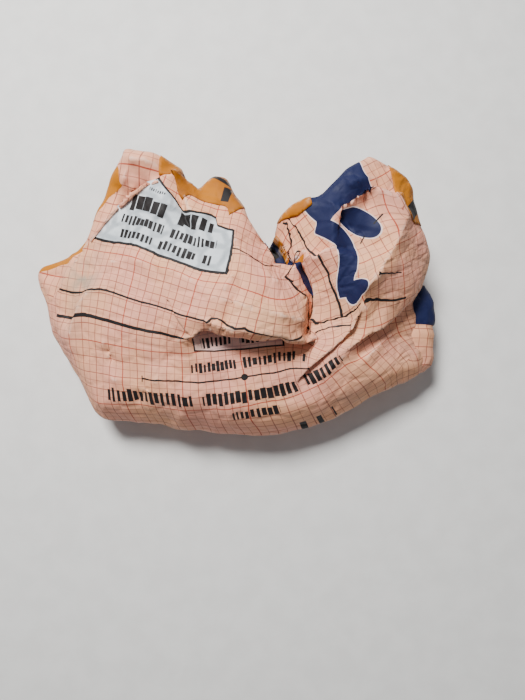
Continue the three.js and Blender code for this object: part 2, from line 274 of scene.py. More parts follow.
class Facets:
    """Random flat facets with sharp creases between them, as pressed paper has."""

    CELLS = 8.0
    EDGE = 1e-6
    LAST_CELL = 1.001

    def __init__(self, seed: int, pitch: float, sheet: Array, ratio: float = 1.0) -> None:
        """Makes the facets on a sheet.

        Args:
            seed: picks the pattern.
            pitch: about how wide a facet is.
            sheet: N x 2 flat places that the facets have to cover.
            ratio: how much longer a facet is along v than along u.
        """
        random = np.random.default_rng(seed)
        self.scale, self.cell = np.array([1.0, ratio]), pitch / self.CELLS
        self.low = (sheet / self.scale).min(0) - pitch
        size = (sheet / self.scale).max(0) + pitch - self.low
        corners = np.array([(-1.0, -1.0), (1.0, -1.0), (1.0, 1.0), (-1.0, 1.0)])
        spread = random.uniform(0.0, 1.0, (int(size.prod() / pitch**2), 2)) * size
        places = np.concatenate([size / 2.0 + corners * (size / 2.0 + pitch), spread])
        levels = random.uniform(-1.0, 1.0, len(places))
        self.levels = np.zeros((size[::-1] / self.cell).astype(int) + 2)
        points = [Vector(place) for place in places]
        _, _, faces, *_ = geometry.delaunay_2d_cdt(points, [], [], 0, MERGE_WITHIN)
        for face in faces:
            self._fill(places[face], levels[face])

    def _fill(self, corners: Array, levels: Array) -> None:
        """Writes one facet's plane into the sheet's levels.

        Args:
            corners: its three places on the sheet.
            levels: the level at each.
        """
        limit = np.array(self.levels.shape[::-1])
        low = np.maximum(np.floor(corners.min(0) / self.cell).astype(int), 0)
        high = np.minimum(np.ceil(corners.max(0) / self.cell).astype(int) + 1, limit)
        basis = corners[1:] - corners[0]
        twice_area = basis[0, 0] * basis[1, 1] - basis[0, 1] * basis[1, 0]
        if (high <= low).any() or abs(twice_area) < self.EDGE:
            return
        columns, rows = np.meshgrid(np.arange(low[0], high[0]), np.arange(low[1], high[1]))
        x = columns * self.cell - corners[0, 0]
        y = rows * self.cell - corners[0, 1]
        one = (x * basis[1, 1] - y * basis[1, 0]) / twice_area
        two = (y * basis[0, 0] - x * basis[0, 1]) / twice_area
        inside = (one >= -self.EDGE) & (two >= -self.EDGE) & (one + two <= 1.0 + self.EDGE)
        plane = levels[0] + one * (levels[1] - levels[0]) + two * (levels[2] - levels[0])
        self.levels[rows[inside], columns[inside]] = plane[inside]

    def at(self, places: Array) -> Array:
        """Reads the facets.

        Args:
            places: N x 2 places on the flat sheet.

        Returns:
            Levels from -1 to 1.
        """
        limit = np.array(self.levels.shape[::-1]) - self.LAST_CELL
        steps = np.clip((places / self.scale - self.low) / self.cell, 0.0, limit)
        columns, rows = steps[:, 0].astype(int), steps[:, 1].astype(int)
        right, up = steps[:, 0] - columns, steps[:, 1] - rows
        near, far = (self.levels[row, columns] * (1.0 - right) + self.levels[row, columns + 1] * right
                     for row in (rows, rows + 1))
        return near * (1.0 - up) + far * up


class Web:
    """Weighted links between points, for solving a smooth spread of values over them."""

    def __init__(self, count: int, first: Array, second: Array, weights: Array) -> None:
        """Keeps the links both ways.

        Args:
            count: how many points there are.
            first: the point at one end of each link.
            second: the point at its other end.
            weights: how stiff each link is.
        """
        self.count = count
        self.rows = np.concatenate([first, second])
        self.columns = np.concatenate([second, first])
        self.weights = np.concatenate([weights, weights])
        self.stiffness = np.bincount(self.rows, self.weights, count)

    def pull(self, values: Array) -> Array:
        """Returns the links' pull on each point, as weights times differences."""
        from_others = np.bincount(self.rows, self.weights * values[self.columns], self.count)
        return self.stiffness * values - from_others

    def solve(self, target: Array, anchors: Array, start: Array, rounds: int) -> Array:
        """Solves (links + anchors) values = target by conjugate gradients.

        Args:
            target: the right-hand side.
            anchors: extra stiffness that holds each point to its target.
            start: the first guess.
            rounds: the most steps taken.

        Returns:
            The values.
        """
        values = start.copy()
        rest = target - self.pull(values) - anchors * values
        scale = 1.0 / (self.stiffness + anchors)
        step = rest * scale
        energy = rest @ step
        for _ in range(rounds):
            if energy < TINY:
                break
            push = self.pull(step) + anchors * step
            length = energy / (step @ push)
            values += length * step
            rest -= length * push
            scaled = rest * scale
            next_energy = rest @ scaled
            step = scaled + (next_energy / energy) * step
            energy = next_energy
        return values


def links_of(faces: Array) -> tuple[Array, Array]:
    """Lists the edges of a triangle mesh.

    Args:
        faces: M x 3 point numbers.

    Returns:
        The two ends of each edge, once each.
    """
    edges = np.concatenate([faces[:, [0, 1]], faces[:, [1, 2]], faces[:, [2, 0]]])
    edges = np.unique(np.sort(edges, axis=1), axis=0)
    return edges[:, 0], edges[:, 1]


def normals_of(points: Array, faces: Array) -> Array:
    """Works out the normals of a triangle mesh.

    Args:
        points: N x 3 points.
        faces: M x 3 point numbers.

    Returns:
        Each point's normal, weighted by the area of its triangles.
    """
    corners = points[faces]
    flat = np.cross(corners[:, 1] - corners[:, 0], corners[:, 2] - corners[:, 0])
    sums = [np.bincount(faces.ravel(), np.repeat(flat[:, axis], 3), len(points)) for axis in range(3)]
    return unit(np.stack(sums, axis=1))


@dataclass(frozen=True)
class Mark:
    """A printed line's known run on the crumpled sack, used to lay the print's flat map over it.

    The line runs up the flat sheet at value where the axis is 0, and across it where it is 1.
    """

    axis: int
    value: float
    places: Places


class FlatMap:
    """Finds where each point of the crumpled sheet lay while the sheet was flat."""

    ROUNDS = 14
    SOLVER_ROUNDS = 60
    MARK_STIFFNESS = 1.5
    HIDDEN_STIFFNESS = 0.02
    HIDDEN_FROM = 0.1
    LEAST_WEIGHT, MOST_WEIGHT, LEAST_AREA = 0.05, 4.0, 1e-6
    MARK_STEP = 3.0

    def __init__(self, points: Array, faces: Array, hidden: Array) -> None:
        """Measures the sheet's triangles.

        Args:
            points: N x 3 points.
            faces: M x 3 triangles.
            hidden: N values from 0 to 1, for points in a fold's hidden layer.
        """
        self.points, self.faces = points, faces
        corners = points[faces]
        first, second = corners[:, 1] - corners[:, 0], corners[:, 2] - corners[:, 0]
        along = unit(first)
        across = unit(np.cross(np.cross(first, second), along))
        self.flat = np.zeros((len(faces), 3, 2))
        self.flat[:, 1, 0] = np.linalg.norm(first, axis=1)
        self.flat[:, 2, 0] = (second * along).sum(1)
        self.flat[:, 2, 1] = (second * across).sum(1)
        loose = hidden[faces].max(1) > self.HIDDEN_FROM
        stiffness = np.where(loose, self.HIDDEN_STIFFNESS, 1.0)
        self.weights = np.zeros((len(faces), 3))
        for corner in range(3):
            one = self.flat[:, (corner + 1) % 3] - self.flat[:, corner]
            two = self.flat[:, (corner + 2) % 3] - self.flat[:, corner]
            area = np.abs(one[:, 0] * two[:, 1] - one[:, 1] * two[:, 0])
            slant = (one * two).sum(1) / np.maximum(area, self.LEAST_AREA)
            self.weights[:, corner] = np.clip(slant, self.LEAST_WEIGHT, self.MOST_WEIGHT) * stiffness

    def solve(self, marks: Iterable[Mark]) -> Array:
        """Flattens the sheet with as little stretch as it can, with its printed marks in place.

        Args:
            marks: printed lines whose runs are known.

        Returns:
            N x 2 flat places.
        """
        count = len(self.points)
        ends = [(self.faces[:, (c + 1) % 3], self.faces[:, (c + 2) % 3]) for c in range(3)]
        web = Web(count, np.concatenate([a for a, _ in ends]), np.concatenate([b for _, b in ends]),
                  self.weights.T.ravel())
        anchors, targets = np.zeros((count, 2)), np.zeros((count, 2))
        for mark in marks:
            for index in self._visible_points(mark):
                anchors[index, mark.axis] += self.MARK_STIFFNESS
                targets[index, mark.axis] += self.MARK_STIFFNESS * mark.value
        flat = self.points[:, :2].copy()
        for _ in range(self.ROUNDS):
            right = self._turned_edges(flat)
            for axis in range(2):
                flat[:, axis] = web.solve(right[:, axis] + targets[:, axis], anchors[:, axis],
                                          flat[:, axis], self.SOLVER_ROUNDS)
        return flat

    def _visible_points(self, mark: Mark) -> list[int]:
        """Finds the uppermost mesh points along a mark.

        Args:
            mark: the printed line.

        Returns:
            Their point numbers.
        """
        plan = self.points[:, :2]
        picked = []
        for place in Run(mark.places).resampled(self.MARK_STEP):
            near = np.flatnonzero(((plan - place) ** 2).sum(1) < self.MARK_STEP**2)
            if len(near):
                picked.append(int(near[self.points[near, 2].argmax()]))
        return picked

    def _turned_edges(self, flat: Array) -> Array:
        """Turns each triangle's true shape to lie best on the flat map.

        Args:
            flat: N x 2 places on the map so far.

        Returns:
            N x 2 sums of the turned edges that meet at each point, by their weights.
        """
        mapped = flat[self.faces]
        cosine, sine = np.zeros(len(self.faces)), np.zeros(len(self.faces))
        for corner in range(3):
            a, b = (corner + 1) % 3, (corner + 2) % 3
            old, new = self.flat[:, a] - self.flat[:, b], mapped[:, a] - mapped[:, b]
            cosine += self.weights[:, corner] * (old * new).sum(1)
            sine += self.weights[:, corner] * (old[:, 0] * new[:, 1] - old[:, 1] * new[:, 0])
        length = np.maximum(np.hypot(cosine, sine), TINY)
        cosine, sine = cosine / length, sine / length
        right = np.zeros_like(flat)
        for corner in range(3):
            a, b = (corner + 1) % 3, (corner + 2) % 3
            old = self.flat[:, a] - self.flat[:, b]
            turned = np.stack([cosine * old[:, 0] - sine * old[:, 1],
                               sine * old[:, 0] + cosine * old[:, 1]], axis=1)
            turned *= self.weights[:, corner, None]
            for axis in range(2):
                right[:, axis] += np.bincount(self.faces[:, a], turned[:, axis], len(flat))
                right[:, axis] -= np.bincount(self.faces[:, b], turned[:, axis], len(flat))
        return right


@dataclass
class UpperFace:
    """The sack's upper face: one sheet stretched over its creases and lapped at its tucks.

    Creases are ridges or valleys, as points with heights. Mesh edges follow them, and the seams, so
    that the print can change there. The gaps are shares of the pitch. rim_table holds the rounded
    outline's rows of x, y, z, foot, roll and drop, and hidden says how deep each point is in a lap's
    lower layer, from 0 to 1.
    """

    rim: tuple[RimPoint, ...]
    creases: dict[str, Points]
    tucks: tuple[Tuck, ...]
    seams: tuple[Places, ...]
    pitch: float = 2.1
    corner_radius: float = 3.0
    rounding_reach: float = 2.5
    rim_step: float = 1.0
    rim_gap: float = 0.8
    link_gap: float = 1.6
    fill_gap: float = 0.62
    merge_within: float = 1e-3
    hold: float = 1e4
    solver_rounds: int = 700
    points: Array = field(init=False)
    faces: Array = field(init=False)
    plan: Array = field(init=False)
    hidden: Array = field(init=False)
    rim_points: Array = field(init=False)
    rim_table: Array = field(init=False)

    def __post_init__(self) -> None:
        """Builds the face."""
        self.rim_table = self._rounded_rim()
        heights = self._mesh_the_plan()
        self._stretch(heights)
        self._lap()

    def _rounded_rim(self) -> Array:
        """Rounds the outline's corners.

        Returns:
            Its points as rows of x, y, z, foot, roll and drop.
        """
        rows = [(p.x, p.y, p.z, p.foot, p.roll, p.drop) for p in self.rim]
        dense = Run(rows, closed=True).resampled(self.rim_step)
        reach = round(self.rounding_reach * self.corner_radius)
        offsets = np.arange(-reach, reach + 1)
        weights = np.exp(-0.5 * (offsets / self.corner_radius) ** 2)
        rounded = sum(w * np.roll(dense, o, axis=0) for o, w in zip(offsets, weights / weights.sum()))
        return Run(rounded, closed=True).resampled(self.pitch)

    def _mesh_the_plan(self) -> dict[int, float]:
        """Meshes the outline with every crease along mesh edges.

        Returns:
            The height of each mesh point that a crease or the rim fixes.
        """
        places: list[Place] = [tuple(row[:2]) for row in self.rim_table]
        heights: dict[int, float] = {i: row[2] + row[5] for i, row in enumerate(self.rim_table)}
        count = len(places)
        edges = [(i, (i + 1) % count) for i in range(count)]
        rim_tree = tree_of(np.array(places))
        runs = [Run(crease).resampled(self.pitch) for crease in self.creases.values()]
        runs += [Run(seam).resampled(self.pitch) for seam in self.seams]
        for tuck in self.tucks:
            runs += [Run(line).resampled(self.pitch) for line in tuck.lines()]
        for run in runs:
            run = run[within(run[:, :2], self.rim_table[:, :2])]
            run = [row for row in run
                   if rim_tree.find((row[0], row[1], 0.0))[2] > self.rim_gap * self.pitch]
            for step, row in enumerate(run):
                if len(row) > 2:
                    heights[len(places)] = row[2]
                places.append((row[0], row[1]))
                gap = math.dist(row[:2], run[step - 1][:2]) if step else math.inf
                if gap < self.link_gap * self.pitch:
                    edges.append((len(places) - 2, len(places) - 1))
        fixed_tree = tree_of(np.array(places))
        places += [place for place in self._filling()
                   if fixed_tree.find((*place, 0.0))[2] > self.fill_gap * self.pitch]
        found, _, faces, origins, *_ = geometry.delaunay_2d_cdt(
            [Vector(place) for place in places], edges, [], 1, self.merge_within, True)
        self.plan = np.array([tuple(v) for v in found])
        self.faces = np.array(faces)
        self.faces = self.faces[within(self.plan[self.faces].mean(1), self.rim_table[:, :2])]
        back = {old: new for new, olds in enumerate(origins) for old in olds}
        self.rim_points = np.array([back[i] for i in range(count)])
        self.faces = self.faces[~self._slivers()]
        return {back[old]: z for old, z in reversed(heights.items()) if old in back}

    def _slivers(self) -> Array:
        """Finds triangles that hang on the rim from outside, by an open edge that isn't the rim's.

        Returns:
            A truth value for each triangle.
        """
        rim = np.sort(np.stack([self.rim_points, np.roll(self.rim_points, -1)], axis=1), axis=1)
        sides = np.sort(np.stack([self.faces, np.roll(self.faces, -1, axis=1)], axis=2), axis=2)
        count = len(self.plan)
        keys, rim_keys = sides @ (count, 1), rim @ (count, 1)
        _, first, times = np.unique(keys, return_inverse=True, return_counts=True)
        lone = times[first].reshape(keys.shape) == 1
        return (lone & ~np.isin(keys, rim_keys)).any(1)

    def _filling(self) -> list[Place]:
        """Spreads places evenly inside the outline.

        Returns:
            The places, in rows.
        """
        low, high = self.rim_table[:, :2].min(0), self.rim_table[:, :2].max(0)
        row_gap = self.pitch * math.sqrt(3.0) / 2.0
        rows = int((high[1] - low[1]) / row_gap)
        columns = int((high[0] - low[0]) / self.pitch)
        spread = np.array([(low[0] + (column + 0.5 * (row % 2)) * self.pitch, low[1] + row * row_gap)
                           for row in range(rows) for column in range(columns)])
        return [tuple(place) for place in spread[within(spread, self.rim_table[:, :2])]]

    def _stretch(self, fixed: dict[int, float]) -> None:
        """Stretches the sheet over its fixed heights, then rolls it down at the rim.

        Args:
            fixed: the height of each mesh point that a crease or the rim holds.
        """
        count = len(self.plan)
        first, second = links_of(self.faces)
        web = Web(count, first, second, np.ones(len(first)))
        anchors, target = np.zeros(count), np.zeros(count)
        indices, levels = np.array(list(fixed.keys())), np.array(list(fixed.values()))
        anchors[indices] = self.hold
        target[indices] = self.hold * levels
        start = np.full(count, levels.mean())
        start[indices] = levels
        heights = web.solve(target, anchors, start, self.solver_rounds)
        rim_tree = tree_of(self.rim_table[:, :2])
        near = [rim_tree.find((x, y, 0.0)) for x, y in self.plan]
        rows = self.rim_table[[item[1] for item in near]]
        inward = 1.0 - np.clip(np.array([item[2] for item in near]) / rows[:, 4], 0.0, 1.0)
        heights -= rows[:, 5] * inward**2
        self.points = np.column_stack([self.plan, heights])

    def _lap(self) -> None:
        """Pulls each tuck's upper layer over its lower one."""
        moves = np.zeros((len(self.plan), 2))
        self.hidden = np.zeros(len(self.plan))
        for tuck in self.tucks:
            move, hidden = tuck.shift(self.plan)
            moves += move
            self.hidden = np.maximum(self.hidden, hidden)
        self.points[:, :2] += moves


def tree_of(places: Array) -> kdtree.KDTree:
    """Sorts plan places for quick searches.

    Args:
        places: N rows that start with x and y.

    Returns:
        A search tree whose items are the rows' numbers.
    """
    tree = kdtree.KDTree(len(places))
    for index, place in enumerate(places):
        tree.insert((place[0], place[1], 0.0), index)
    tree.balance()
    return tree


@dataclass(frozen=True)
class Pleat:
    """A place on the rim where the side's paper turns in, so that its print breaks there."""

    x: float
    y: float
    depth: float = 4.0
    width: float = 9.0


@dataclass(frozen=True)
class Panel:
    """Another panel of the sack, whose print starts afresh at a tuck's hidden layer.

    The print is held at a place in plan, which lies at flat on the flat sheet, and is drawn smaller
    by scale. The panel runs on for reach.
    """

    tuck: str
    at: Place
    flat: Place
    scale: float
    reach: float = 60.0


def softened(values: Array, faces: Array, rounds: int) -> Array:
    """Averages each point's value with its neighbours' a few times.

    Args:
        values: a number or a vector for each point.
        faces: the triangles that link the points.
        rounds: how many times.

    Returns:
        The softened values.
    """
    first, second = links_of(faces)
    count = len(values)
    degree = np.bincount(first, minlength=count) + np.bincount(second, minlength=count) + 1.0
    columns = values.reshape(count, -1)
    for _ in range(rounds):
        columns = np.stack([(column + np.bincount(first, column[second], count)
                             + np.bincount(second, column[first], count)) / degree
                            for column in columns.T], axis=1)
    return columns.reshape(values.shape)


@dataclass(frozen=True)
class Crumple:
    """One size of facets pressed into the paper: how wide and how deep they are."""

    pitch: float
    height: float


@dataclass
class SackSkin:
    """The whole sack's skin: its upper face, the sides that curl under it, and its underside.

    The sides draw in towards the line from core_west to core_east at core_y. Facets are pressed in
    along softened normals. A lap's hidden layer loses hidden_loss of them, a side's own ones take over
    within side_blend of the rim, and under floor_fade they die away.
    """

    face: UpperFace
    marks: tuple[Mark, ...]
    pleats: tuple[Pleat, ...]
    panels: tuple[Panel, ...]
    levels: int = 30
    core_west: float = -90.0
    core_east: float = 100.0
    core_y: float = -10.0
    lift: float = 0.4
    crumples: tuple[Crumple, ...] = (Crumple(38.0, 2.7), Crumple(17.0, 0.95), Crumple(7.0, 0.2))
    seeds: tuple[int, int] = (11, 31)
    side_ratio: float = 1.7
    side_share: float = 1.6
    side_blend: float = 25.0
    smoothing: int = 4
    hidden_rounds: int = 3
    hidden_spread: float = 3.0
    hidden_loss: float = 0.75
    pleat_power: float = 0.7
    floor_fade: float = 14.0
    points: Array = field(init=False)
    faces: Array = field(init=False)
    top_flat: Array = field(init=False)
    sides: Array = field(init=False)
    side_flat: Array = field(init=False)
    side_rim: Array = field(init=False)
    side_depth: Array = field(init=False)
    underside: Array = field(init=False)
    pleat_places: dict[int, Pleat] = field(init=False)

    def __post_init__(self) -> None:
        """Builds the skin."""
        top_flat = FlatMap(self.face.points, self.face.faces, self.face.hidden).solve(self.marks)
        rings, depths = self._rings()
        foot = self._add_sides(top_flat, rings, depths)
        self._close_underside(foot)
        self._crumple(top_flat)
        self._print_panels(top_flat)

    def _rings(self) -> tuple[list[Array], list[Array]]:
        """Curls the sides down from the rim.

        Returns:
            The rings of points under the rim, and how far down the side each ring lies, from the
            rim's own on.
        """
        foot = self.face.rim_table[:, 3]
        rim_at = self.face.points[self.face.rim_points]
        core_x = np.clip(rim_at[:, 0], self.core_west, self.core_east)
        inward = unit(np.stack([core_x - rim_at[:, 0], self.core_y - rim_at[:, 1]], axis=1))
        rings, depths = [rim_at], [np.zeros(len(rim_at))]
        for turn in np.linspace(0.0, math.pi / 2.0, self.levels + 1)[1:]:
            inset = foot * (1.0 - math.cos(turn))
            height = self.lift + (rim_at[:, 2] - self.lift) * (1.0 - math.sin(turn))
            ring = np.column_stack([rim_at[:, :2] + inward * inset[:, None], height])
            depths.append(depths[-1] + np.linalg.norm(ring - rings[-1], axis=1))
            rings.append(ring)
        return rings[1:], depths

    def _add_sides(self, top_flat: Array, rings: list[Array], depths: list[Array]) -> Array:
        """Adds the sides' points and quads, with their flat places.

        Args:
            top_flat: the upper face's flat places.
            rings: the rings of points under the rim.
            depths: how far down the side each ring lies, from the rim's own on.

        Returns:
            The point numbers of the lowest ring.
        """
        rim = self.face.rim_points
        count = len(rim)
        start = len(self.face.points)
        self.points = np.concatenate([self.face.points, *rings])
        loops = [rim] + [start + level * count + np.arange(count) for level in range(self.levels)]
        after = np.roll(np.arange(count), -1)
        sides, flats = [], []
        rim_flat = top_flat[rim]
        outward = self._panel_directions(rim_flat)
        for level in range(self.levels):
            upper, lower = loops[level], loops[level + 1]
            sides.append(np.stack([upper, lower, lower[after], upper[after]], axis=1))
            one, two = depths[level][:, None], depths[level + 1][:, None]
            flats.append(np.stack([rim_flat + outward * one, rim_flat + outward * two,
                                   rim_flat[after] + outward * two[after],
                                   rim_flat[after] + outward * one[after]], axis=1))
        self.side_rim = np.tile(np.arange(count), self.levels)
        self.side_depth = np.concatenate(depths[1:])
        self.sides = np.concatenate(sides)
        self.side_flat = np.concatenate(flats)
        return loops[-1]

    def _close_underside(self, foot: Array) -> None:
        """Closes the skin under its lowest ring.

        Args:
            foot: the ring's point numbers.
        """
        ring = [Vector(self.points[i, :2]) for i in foot]
        edges = [(i, (i + 1) % len(foot)) for i in range(len(foot))]
        found, _, faces, origins, *_ = geometry.delaunay_2d_cdt(ring, edges, [], 1, MERGE_WITHIN, True)
        back = [foot[old[0]] if old else -1 for old in origins]
        places = np.array([tuple(place) for place in found])
        inside = within(places[np.array(faces)].mean(1), self.points[foot, :2])
        self.underside = np.array([[back[i] for i in reversed(face)] for face, kept in zip(faces, inside)
                                   if kept and min(back[i] for i in face) >= 0])

    def _panel_directions(self, rim_flat: Array) -> Array:
        """Works out which way the print runs on down each side panel.

        Args:
            rim_flat: the rim's places on the flat map, in order.

        Returns:
            For each stretch of the rim, the flat map's direction away from the face.
        """
        rim_at = self.face.points[self.face.rim_points, :2]
        self.pleat_places = {int(((rim_at - (p.x, p.y)) ** 2).sum(1).argmin()): p for p in self.pleats}
        ends = sorted(self.pleat_places)
        along = np.roll(rim_flat, -1, axis=0) - rim_flat
        outward = np.stack([along[:, 1], -along[:, 0]], axis=1)
        directions = np.zeros_like(outward)
        for start, end in zip(ends, ends[1:] + [ends[0] + len(rim_flat)]):
            members = np.arange(start, end) % len(rim_flat)
            directions[members] = unit(outward[members].sum(0))
        return directions

    def _crumple(self, top_flat: Array) -> None:
        """Presses creases into the skin along its normals.

        Args:
            top_flat: the upper face's flat places.
        """
        top = len(self.face.points)
        count = len(self.face.rim_points)
        halves = np.concatenate([self.sides[:, [0, 1, 2]], self.sides[:, [0, 2, 3]]])
        self.faces = np.concatenate([self.face.faces, halves, self.underside])
        normals = unit(softened(normals_of(self.points, self.faces), self.faces, self.smoothing))
        folded = np.zeros(len(self.points))
        folded[:top] = self.face.hidden
        folded = np.clip(self.hidden_spread * softened(folded, self.faces, self.hidden_rounds), 0.0, 1.0)
        along = np.concatenate([[0.0], np.cumsum(np.linalg.norm(
            np.diff(self.face.points[self.face.rim_points], axis=0), axis=1))])
        stops = along[self.side_rim]
        sheet = np.stack([stops, self.side_depth], axis=1)
        rise = np.zeros(len(self.points))
        blend = ease(self.side_depth / self.side_blend)
        for number, crumple in enumerate(self.crumples):
            facets = Facets(self.seeds[0] + number, crumple.pitch, top_flat)
            rise[:top] += crumple.height * facets.at(top_flat) * (1.0 - self.hidden_loss * folded[:top])
            on_side = Facets(self.seeds[1] + number, crumple.pitch, sheet, self.side_ratio)
            from_top = crumple.height * facets.at(top_flat)[self.face.rim_points][self.side_rim]
            rise[top:] += ((1.0 - blend) * from_top
                           + blend * self.side_share * crumple.height * on_side.at(sheet))
        share = self.side_depth / self.side_depth.max()
        for place, pleat in self.pleat_places.items():
            apart = np.abs(stops - along[place])
            apart = np.minimum(apart, along[-1] - apart)
            turned_in = np.clip(1.0 - apart / pleat.width, 0.0, 1.0)
            rise[top:] -= pleat.depth * turned_in * np.sin(math.pi * share) ** self.pleat_power
        near_floor = ease(self.points[:, 2] / self.floor_fade)
        self.points = self.points + normals * (rise * near_floor)[:, None]
        self.points[top + (self.levels - 1) * count:, 2] = self.lift
        self.points[:, 2] = np.maximum(self.points[:, 2], self.lift)

    def _print_panels(self, top_flat: Array) -> None:
        """Gives the other panels' triangles, and the sides under them, their own flat places.

        Args:
            top_flat: the upper face's flat places.
        """
        face = self.face
        self.top_flat = top_flat[face.faces]
        centres = face.plan[face.faces].mean(1)
        for panel in self.panels:
            tuck = next(item for item in face.tucks if item.name == panel.tuck)
            crest = Run(tuck.lines()[0])
            left, _ = crest.nearest(centres)
            members = (left < 0.0) & (left > -panel.reach)
            pivot = top_flat[((face.plan - panel.at) ** 2).sum(1).argmin()]
            self.top_flat[members] = (self.top_flat[members] - pivot) * panel.scale + panel.flat
            rim_left, _ = crest.nearest(face.plan[face.rim_points])
            on_side = np.tile((rim_left < 0.0) & (rim_left > -panel.reach), self.levels)
            self.side_flat[on_side] = (self.side_flat[on_side] - pivot) * panel.scale + panel.flat


def linear(red: int, green: int, blue: int) -> Colour:
    """Turns a display colour into the shader's linear one, by the sRGB curve.

    Args:
        red: the first channel, from 0 to 255.
        green: the second.
        blue: the third.

    Returns:
        The linear colour.
    """
    def bend(level: int) -> float:
        """Bends one channel."""
        share = level / 255.0
        return share / 12.92 if share <= 0.04045 else ((share + 0.055) / 1.055) ** 2.4
    return bend(red), bend(green), bend(blue)


class Wire:
    """A shader socket that Python's operators turn into Math nodes."""

    def __init__(self, bench: "Bench", socket: bpy.types.NodeSocket) -> None:
        """Keeps the socket and the bench that adds nodes to it."""
        self.bench, self.socket = bench, socket

    def __add__(self, other: "Wire | float") -> "Wire":
        """Adds."""
        return self.bench.math("ADD", self, other)

    __radd__ = __add__

    def __sub__(self, other: "Wire | float") -> "Wire":
        """Takes other away."""
        return self.bench.math("SUBTRACT", self, other)

    def __rsub__(self, other: "Wire | float") -> "Wire":
        """Is taken away from other."""
        return self.bench.math("SUBTRACT", other, self)

    def __mul__(self, other: "Wire | float") -> "Wire":
        """Multiplies."""
        return self.bench.math("MULTIPLY", self, other)

    __rmul__ = __mul__

    def __truediv__(self, other: "Wire | float") -> "Wire":
        """Divides by other."""
        return self.bench.math("DIVIDE", self, other)

    def __rtruediv__(self, other: "Wire | float") -> "Wire":
        """Divides other."""
        return self.bench.math("DIVIDE", other, self)

    def __abs__(self) -> "Wire":
        """Drops the sign."""
        return self.bench.math("ABSOLUTE", self)

    def most(self, other: "Wire | float") -> "Wire":
        """Returns the greater of the two."""
        return self.bench.math("MAXIMUM", self, other)

    def least(self, other: "Wire | float") -> "Wire":
        """Returns the smaller of the two."""
        return self.bench.math("MINIMUM", self, other)

    def ramp(self, low: float, high: float, start: float = 0.0, end: float = 1.0) -> "Wire":
        """Maps low..high to start..end with soft ends, and clamps it."""
        soft = {"clamp": True, "interpolation_type": "SMOOTHSTEP"}
        return self.bench.node("ShaderNodeMapRange", soft, {0: self, 1: low, 2: high, 3: start, 4: end})

    def slope(self, low: float, high: float, start: float = 0.0, end: float = 1.0) -> "Wire":
        """Maps low..high to start..end evenly, and clamps it."""
        share = ((self - low) / (high - low)).most(0.0).least(1.0)
        return share * (end - start) + start


